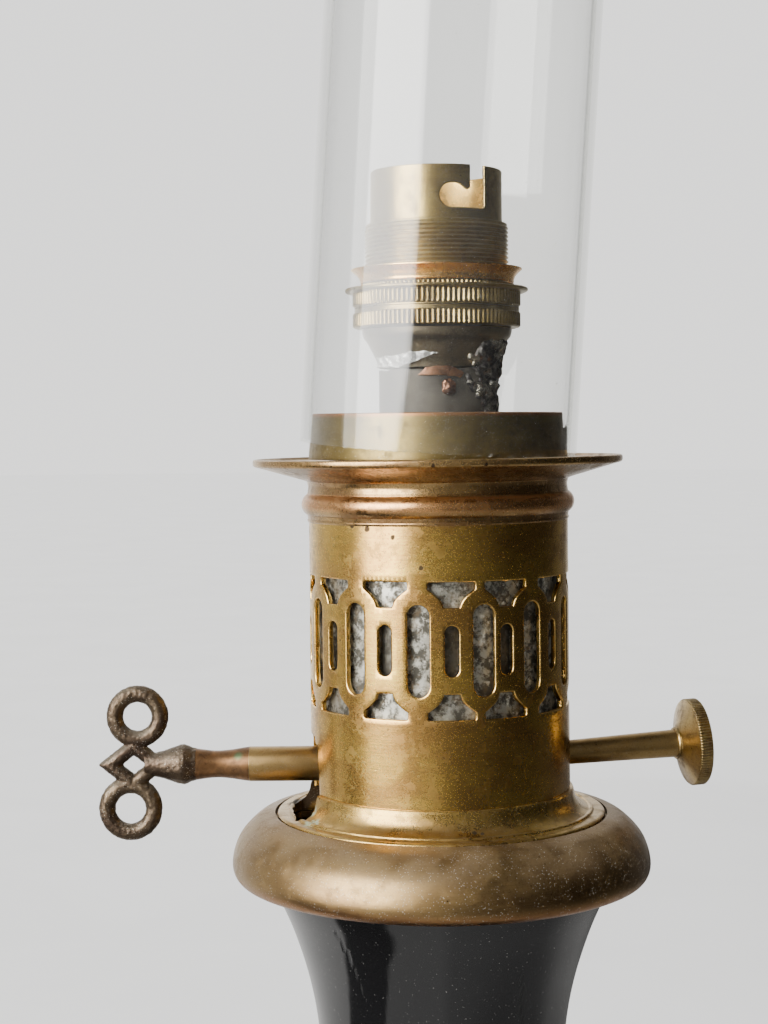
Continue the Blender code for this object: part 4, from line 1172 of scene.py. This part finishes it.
def build_joint(tube_r, joint_top):
    """The joint under the lampholder: solder lumps on the right, a copper strip and a torn foil flap."""
    draw = random.Random(12)
    lumps = []
    count = 170
    for k in range(count):
        t = k / (count - 1)
        angle = draw.uniform(28 + 14 * abs(2 * t - 1), 122)
        z = joint_top + 5.0 - 13.0 * t
        reach = 12.4 - 1.7 * min(1.0, t * 2.2)
        size = draw.uniform(0.8, 1.35) * (1.1 - 0.25 * t)
        lumps.append(ball(around(angle, reach, z), size, (1, 1, draw.uniform(0.8, 1.7))))
    for angle, reach, z, size in ((97, 12.4, 391.2, 1.2), (84, 12.0, 389.4, 1.2), (60, 11.7, 388.0, 1.0),
                                  (95, 11.3, 386.0, 1.2), (100, 11.0, 380.9, 1.1), (88, 11.0, 383.2, 1.1),
                                  (46, 11.5, 386.8, 1.0), (36, 11.6, 387.6, 0.7), (66, 11.3, 383.8, 1.0)):
        lumps.append(ball(around(angle, reach, z), size))
    mesh = remeshed("solder_lumps", lumps, 0.2, 4, 0.55, 480.0)
    show("solder_lumps", mesh, solder_look(), "lamp", ["solder_joint"], 60)

    glints = [ball(around(angle, 12.0, z), size) for angle, z, size in
              ((30, 388.6, 0.55), (34, 388.0, 0.6), (37, 388.9, 0.5), (33, 387.3, 0.45), (39, 387.9, 0.5))]
    glint = remeshed("solder_glint", glints, 0.12, 3, 0.45, 900.0)
    show("solder_glint", glint, copper_look("bright_solder", (0.72, 0.66, 0.52), (0.30, 0.26, 0.20)),
         "lamp", (), 60)

    drop = remeshed("solder_drop", [ball(around(9.5, tube_r + 0.1, 382.9), 1.4, (1, 0.5, 1.2))], 0.14, 1,
                    0.3, 900.0)
    show("solder_drop", drop, copper_look("burnt_drop", (0.22, 0.105, 0.06), (0.07, 0.04, 0.03)), "lamp",
         (), 60)

    strip = ragged([(-20.0, 385.2), (-12.0, 386.7), (2.0, 387.0), (16.0, 386.6), (24.0, 385.5),
                    (20.0, 384.7), (4.0, 385.2), (-20.0, 385.2)], 0.3, 9, 3)[:-1]
    mesh = wrapped_sheet("copper_strip", strip, [], tube_r + 0.45, 0.3, 0.08, 0.5, ripple=0.3)
    show("copper_strip", mesh, copper_look("strip_copper", (0.36, 0.18, 0.095), (0.15, 0.08, 0.05)), "lamp")

    flap = ragged([(-64.0, 386.6), (-44.0, 387.0), (-26.0, 387.3), (-8.0, 388.9), (0.0, 389.3),
                   (-12.0, 389.6), (-30.0, 389.3), (-50.0, 388.8), (-66.0, 388.2), (-64.0, 386.6)], 0.16, 5,
                  5)[:-1]
    mesh = wrapped_sheet("foil_flap", flap, [], tube_r + 1.5, 0.16, 0.05, 0.35)
    for vert in mesh.vertices:
        crumple = noise.fractal(vert.co * 420, 0.8, 2.0, 3)
        out = Vector((vert.co.x, vert.co.y, 0)).normalized()
        vert.co += (out * (crumple * 0.6 - 0.1) + Vector((0, 0, 0.35 * crumple))) * MM
    show("foil_flap", mesh, foil_look(), "lamp", (), 50)


def build_contacts(moulded, brass):
    bore_r, bore_z, bore_depth = 2.25, 406.0, 14.0
    block = Span("contact_block")
    outline = filleted([(0, block.low, 0), (8.8, block.low, 0.3), (8.8, 398.2, 0.2), (10.9, 398.6, 0.2),
                        (10.9, block.high - 0.5, 0.3), (10.3, block.high, 0.4), (0, block.high, 0)], 0.2)
    obj = lathe("contact_carrier", outline, moulded, "lamp", ["contact_block"], 96)
    for side, label in ((-1, "left"), (1, "right")):
        plunger = Span(f"plunger_{label}")
        x = (plunger.left + plunger.right) / 2
        bm = bmesh.new()
        place = Matrix.Translation(Vector((x, 0, bore_z)) * MM)
        bmesh.ops.create_cone(bm, cap_ends=True, segments=40, radius1=bore_r * MM, radius2=bore_r * MM,
                              depth=bore_depth * MM, matrix=place)
        tool = linked("bore_tool", clean_mesh("bore_tool", bm))
        carve(obj, tool)
        bpy.data.objects.remove(tool)
        pin = filleted([(0, plunger.low, 0), (1.88, plunger.low, 0.1), (1.88, plunger.high - 0.9, 0.3),
                        (1.2, plunger.high - 0.05, 0.5), (0, plunger.high, 0)], 0.2)
        lathe(f"contact_pin_{label}", pin, brass, f"plunger_{label}",
              [f"plunger_{label}"], 40, matrix=Matrix.Translation((x * MM, 0, 0)))


def coil(name, centre_x, radius, low, high, turns, wire, material, body):
    """A coil spring of a given number of turns between two heights, riding on a body."""
    per_turn = 48
    steps = per_turn * turns
    points = []
    for k in range(steps + 1):
        turned = TAU * k / per_turn
        height = low + wire + (high - low - 2 * wire) * k / steps
        points.append((centre_x + radius * math.cos(turned), radius * math.sin(turned), height))
    mesh = swept_mesh(name + "_coil", points, wire, 12)
    obj = show(name + "_coil", mesh, material, body, [name])
    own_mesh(obj)


def build_springs(steel):
    coil("piston_spring", 0, 30.0, 48.85, 163.75, 5, 1.08, steel, "piston")
    for label, centre_x in (("left", -4.2), ("right", 4.2)):
        plunger = f"plunger_{label}"
        coil(f"plunger_spring_{label}", centre_x, 1.34, 399.25, 405.55, 4, 0.24, steel, plunger)


def finish_cad_nodes(finishes):
    """Everything that isn't replaced keeps its CAD shape and gets a better finish."""
    for part in frame["record"]["subparts"]:
        node = frame["nodes"][part["node"]]
        if node.hide_render:
            continue
        node.data.materials.clear()
        node.data.materials.append(finishes[part["material_slot"]])


# Camera, floor and light


def build_camera():
    camera = linked("camera", bpy.data.cameras.new("camera"))
    camera.data.lens = LENS
    camera.data.shift_y = SHIFT_Y
    camera.data.clip_start = 0.02
    camera.matrix_world = Matrix.Translation(EYE) @ Matrix.Rotation(math.radians(ROLL), 4, "Y") @ TALL
    bpy.context.scene.camera = camera


def build_floor():
    """A wide pale floor that meets the pale backdrop far away. Its folds are painted shade, and it has a
    painted shadow on the right of the lamp that fades away with distance.
    """
    points = [[around(360 * i / 96, r / MM, 0) for r in (0.0, 0.3, 1.0, 3.0, 8.0, 16.0)] for i in range(96)]
    mesh = grid_mesh("studio_floor", points, close_columns=False)
    mesh.shade_smooth()
    look = Look("pale_cloth")
    weave = look.noise(1400.0, 3.0)
    # Painted shade of the cloth's folds, between FLOOR_LIGHT and FLOOR_SHADE.
    folds = look.band(look.noise(6.0, 3.0, 0.5, 0.6), 0.3, 0.7)
    # Painted shadow: the cloth turns grey on the right of the lamp, fading out from about 0.9 m to 2.6 m
    # away.
    right = look.band(look.add("SeparateXYZ", {"Vector": look.place}).outputs["X"], -0.15, 0.9, 0.0, 0.6)
    away = look.add("VectorMath", {0: look.place}, operation="LENGTH").outputs["Value"]
    right = look.times(right, look.band(away, 0.9, 2.6, 1.0, 0.0))
    color = look.mix(right, look.mix(folds, FLOOR_LIGHT, FLOOR_SHADE), (0.55, 0.55, 0.55))
    look.set(Base_Color=color, Roughness=0.95, Normal=look.bump(weave, 0.05))
    mesh.materials.append(look.material)
    floor = linked("studio_floor", mesh)
    floor.visible_glossy = False


def soft_sun(name, azimuth, elevation, strength, spread):
    sun = bpy.data.lights.new(name, "SUN")
    sun.energy = strength
    sun.angle = math.radians(spread)
    obj = linked(name, sun)
    level = math.cos(math.radians(elevation))
    place = Vector((*around(azimuth, level, 0)[:2], math.sin(math.radians(elevation))))
    obj.rotation_euler = place.to_track_quat("Z", "Y").to_euler()
    obj.visible_glossy = False


def step(value, low, high):
    """Smooth step from 0 at low to 1 at high."""
    t = min(1.0, max(0.0, (value - low) / (high - low)))
    return t * t * (3 - 2 * t)


def window(value, low, high, soft):
    return step(value, low - soft, low + soft) * (1 - step(value, high - soft, high + soft))


def tent_wall_glow(azimuth, elevation):
    """Brightness of the light tent by azimuth from the front and elevation, both in degrees."""
    glow = 0.03 + 0.34 * (1 - step(azimuth, -20, 66)) + 0.50 * (1 - step(azimuth, -128, -72))
    glow += 0.12 * step(azimuth, 105, 140) + 1.1 * step(azimuth, 148, 170)
    glow += 0.7 * step(-azimuth, 125, 155) + 0.4 * step(-azimuth, 148, 170)
    glow *= 1 - 0.35 * step(elevation, 35, 65)
    glow += 0.20 * step(elevation, 55, 80) * (1 - step(azimuth, -10, 60))
    narrower = 1 - step(elevation, -3, 4)
    panes = window(azimuth, -72 + 6 * narrower, -27 - 11 * narrower, 1.5)
    panes *= step(elevation, -10.5, 2) * (1 - step(elevation, 38, 52))
    return glow + WINDOW_GLOW * panes


def tent_floor_glow(x, y):
    """Brightness of the cloth as the lamp's gloss shows it, in metres, with a dark wedge on the left."""
    left = 1 - step(x, -0.25, 0.05)
    away = math.hypot(x, y)
    glow = 0.55 + 0.67 * left * step(y, -0.06, 0.05) - 0.28 * step(x, 0.0, 0.3)
    glow += 0.26 * step(x, 0.05, 0.3) * step(y, 0.0, 0.2)
    glow += 0.18 * (1 - step(x, -0.02, 0.04)) * (1 - step(y, -0.06, 0.05))
    glow *= 1 - 0.8 * step(away, 0.35, 0.8) * step(x, -0.5, 0.3)
    dark = step(-x, 0.06, 0.08) * step(y, -0.068 + 0.397 * x - 0.004, -0.068 + 0.397 * x + 0.004)
    dark *= 1 - step(y + 0.15 * (x + 0.1), -0.012, 0.012)
    return glow * (1 - 0.93 * dark)


def build_tent():
    """A light tent that only gloss sees: a soft window on the left, dark on the right, pale cloth below."""
    radius, steps = 1.6, 240
    outline = [(0.085 * 1.13 ** k, 0.003) for k in range(24)]
    outline += [(radius, 0.003 + 0.04 * k) for k in range(45)]
    outline += [(radius * math.cos(t), 1.763 + radius * 0.8 * math.sin(t))
                for t in (math.pi / 2 * k / 16 for k in range(1, 17))]
    points, glows = [], []
    for i in range(steps):
        azimuth = -180 + 360 * (i + 0.5) / steps
        row = [around(azimuth, r / MM, z / MM) for r, z in outline]
        points.append(row)
        for (x, y, z), (r, high) in zip(row, outline):
            if high < 0.004:
                glows.append(tent_floor_glow(x * MM, y * MM))
            else:
                elevation = math.degrees(math.atan2(high - LAMP_MIDDLE, r + 1e-6))
                glows.append(tent_wall_glow(azimuth, elevation))
    index = np.arange(steps * len(outline)).reshape(steps, len(outline))
    after = np.roll(index, -1, 0)
    faces = np.stack([index[:, :-1], index[:, 1:], after[:, 1:], after[:, :-1]], -1).reshape(-1, 4)
    mesh = bpy.data.meshes.new("light_tent")
    mesh.from_pydata((np.array(points).reshape(-1, 3) * MM).tolist(), [], faces.tolist())
    mesh.attributes.new("glow", "FLOAT", "POINT").data.foreach_set("value", glows)
    look = Look("tent_light")
    look.set(Base_Color=(0, 0, 0), Roughness=1.0, Emission_Color=(1.0, 0.985, 0.96),
             Emission_Strength=look.attribute("glow"))
    look.material.cycles.emission_sampling = "NONE"
    mesh.materials.append(look.material)
    tent = linked("light_tent", mesh)
    for rays in ("camera", "diffuse", "transmission", "shadow", "volume_scatter"):
        setattr(tent, "visible_" + rays, False)


def build_world():
    """An even pale backdrop that lights the diffuse surfaces less than it shows."""
    world = bpy.data.worlds.new("studio")
    bpy.context.scene.world = world
    world.use_nodes = True
    tree = world.node_tree
    backdrop = tree.nodes["Background"]
    backdrop.inputs["Color"].default_value = (*BACKDROP, 1)
    path = tree.nodes.new("ShaderNodeLightPath")
    level = tree.nodes.new("ShaderNodeMapRange")
    level.inputs["To Min"].default_value = BACKDROP_GLOW
    level.inputs["To Max"].default_value = FILL_GLOW
    tree.links.new(path.outputs["Is Diffuse Ray"], level.inputs["Value"])
    tree.links.new(level.outputs["Result"], backdrop.inputs["Strength"])


def build_light():
    build_world()
    build_tent()
    soft_sun("key_sun", -50, 38, 3.7, 40)
    soft_sun("top_sun", 20, 80, 1.4, 90)


body_brass = aged_metal(
    "body_brass", (0.66, 0.425, 0.10), (0.48, 0.275, 0.078), (0.18, 0.10, 0.036), (0.22, 0.36), grit=0.04,
    stains_and_shade=[(-26, 24.6, 361.5, 0.7), (-41, 24.6, 357.6, 0.6), (-33, 24.6, 357.2, 0.7),
            (-21, 24.6, 355.8, 0.5), (-9, 24.6, 350.3, 0.7)],
    edge=(0.72, 0.48, 0.16))
# The three large spots at -98.5 degrees on the plate are painted shade: near black over the recess at the
# end of the key's slot.
plate_brass = aged_metal(
    "plate_brass", (0.56, 0.37, 0.10), (0.40, 0.25, 0.075), (0.13, 0.08, 0.03), (0.24, 0.42), dust=0.12,
    grit=0.4, stains_and_shade=[(11, 27.0, 303.3, 0.6), (14, 27.3, 303.2, 0.5), (-98.5, 25.6, 305.0, 3.2),
                      (-98.5, 27.4, 303.2, 3.0), (-98.5, 24.9, 306.4, 2.4)],
    verdigris=[(-58, 28.5, 302.8, 2.0), (-66, 26.5, 304.0, 1.6)])
flange_brass = aged_metal("flange_brass", (0.44, 0.285, 0.115), (0.30, 0.175, 0.075), (0.12, 0.065, 0.03),
                          (0.24, 0.40), stains_and_shade=[(-3, 35.3, 368.9, 0.5), (12, 35.3, 368.9, 0.4)], dust=0.15,
                          grit=0.3, tint=((0.62, 0.32, 0.13), flange_tint))
collar_brass = aged_metal("collar_brass", (0.27, 0.178, 0.074), (0.22, 0.14, 0.062), (0.09, 0.055, 0.03),
                          (0.33, 0.47), cloudy=0.12, dust=0.3, dust_color=(0.24, 0.20, 0.14), grit=0.75,
                          tint=((0.33, 0.15, 0.065), collar_tint))
# Its inner colour is painted light on the inside of the bayonet barrel.
holder_brass = aged_metal("holder_brass", (0.44, 0.32, 0.115), (0.32, 0.225, 0.09), (0.11, 0.088, 0.055),
                          (0.28, 0.46), dust=0.2, edge=(0.55, 0.40, 0.17), inner=(0.70, 0.43, 0.10),
                          speckle=0.5, grit=0.6)
cap_brass = aged_metal("cap_brass", (0.245, 0.195, 0.12), (0.16, 0.13, 0.085), (0.06, 0.05, 0.042),
                       (0.35, 0.55), dust=0.3, grit=0.5)
seat_brass = aged_metal("seat_brass", (0.255, 0.19, 0.066), (0.18, 0.132, 0.048), (0.10, 0.08, 0.045),
                        (0.36, 0.54), dust=0.3, grit=0.6, tint=((0.40, 0.17, 0.07), seat_tint))
ring_copper = aged_metal("ring_copper", (1.0, 0.60, 0.17), (0.90, 0.46, 0.12), (0.32, 0.16, 0.07),
                         (0.22, 0.36), lines=0.2)
foot_brass = aged_metal("foot_brass", (0.42, 0.29, 0.13), (0.32, 0.205, 0.10), (0.14, 0.09, 0.05),
                        (0.25, 0.45), dust=0.5)
sleeve_brass = aged_metal("sleeve_brass", (0.37, 0.25, 0.10), (0.29, 0.19, 0.074), (0.14, 0.08, 0.035),
                          (0.32, 0.48), grit=0.25, cloudy=0.25, speckle=0.5)
key_cast = aged_metal("key_cast", (0.135, 0.10, 0.064), (0.07, 0.048, 0.034), (0.035, 0.025, 0.02),
                      (0.44, 0.66), lines=0.0, speckle=0.7, dust=0.35, grit=0.6, cloudy=0.7)
knob_brass = aged_metal("knob_brass", (0.46, 0.33, 0.13), (0.30, 0.20, 0.08), (0.10, 0.065, 0.035),
                        (0.30, 0.5), dust=0.25, grit=0.3, speckle=0.55, cloudy=0.7)
turned_brass = aged_metal("turned_brass", (0.50, 0.36, 0.16), (0.42, 0.29, 0.13), (0.2, 0.13, 0.06),
                          (0.25, 0.4))
burner_tin = burner_tin_look()
tin = plain_look("tinplate", (0.46, 0.455, 0.43), (0.30, 0.29, 0.27), 0.45, 900.0, metallic=0.8)
steel = plain_look("bare_steel", (0.42, 0.42, 0.42), (0.28, 0.28, 0.28), 0.38, 1200.0, metallic=1.0)
leather = plain_look("oiled_leather", (0.14, 0.075, 0.04), (0.07, 0.04, 0.025), 0.65, 1500.0, depth=0.2)
felt = plain_look("green_felt", (0.035, 0.06, 0.04), (0.02, 0.035, 0.025), 0.95, 2600.0, depth=0.3)
cork = plain_look("cork", (0.42, 0.30, 0.18), (0.25, 0.16, 0.09), 0.9, 1300.0, depth=0.2)
moulded = plain_look("moulded_brown", (0.055, 0.035, 0.025), (0.035, 0.024, 0.02), 0.35, 700.0)
rubber = plain_look("black_rubber", (0.03, 0.03, 0.03), (0.018, 0.018, 0.018), 0.7, 1800.0)

build_camera()
build_floor()
build_light()
build_chimney()
key_slot_tool = build_gallery(body_brass, plate_brass)
build_flange(flange_brass, seat_brass)
build_collar(collar_brass, key_slot_tool)
build_vase()
build_foot(foot_brass, felt, rubber)
build_key(key_cast, sleeve_brass)
build_knob(knob_brass, sleeve_brass)
build_barrel(holder_brass)
build_rings(holder_brass, ring_copper)
build_cap(cap_brass, burner_tin)
build_joint(Span("burner_outer_tube").r, Span("burner_outer_tube").high)
build_contacts(moulded, turned_brass)
build_springs(steel)
finish_cad_nodes({
    "tinplate": tin, "burner_tin": burner_tin, "mechanism_brass": turned_brass, "mechanism_steel": steel,
    "piston_leather": leather, "gasket_cork": cork,
})
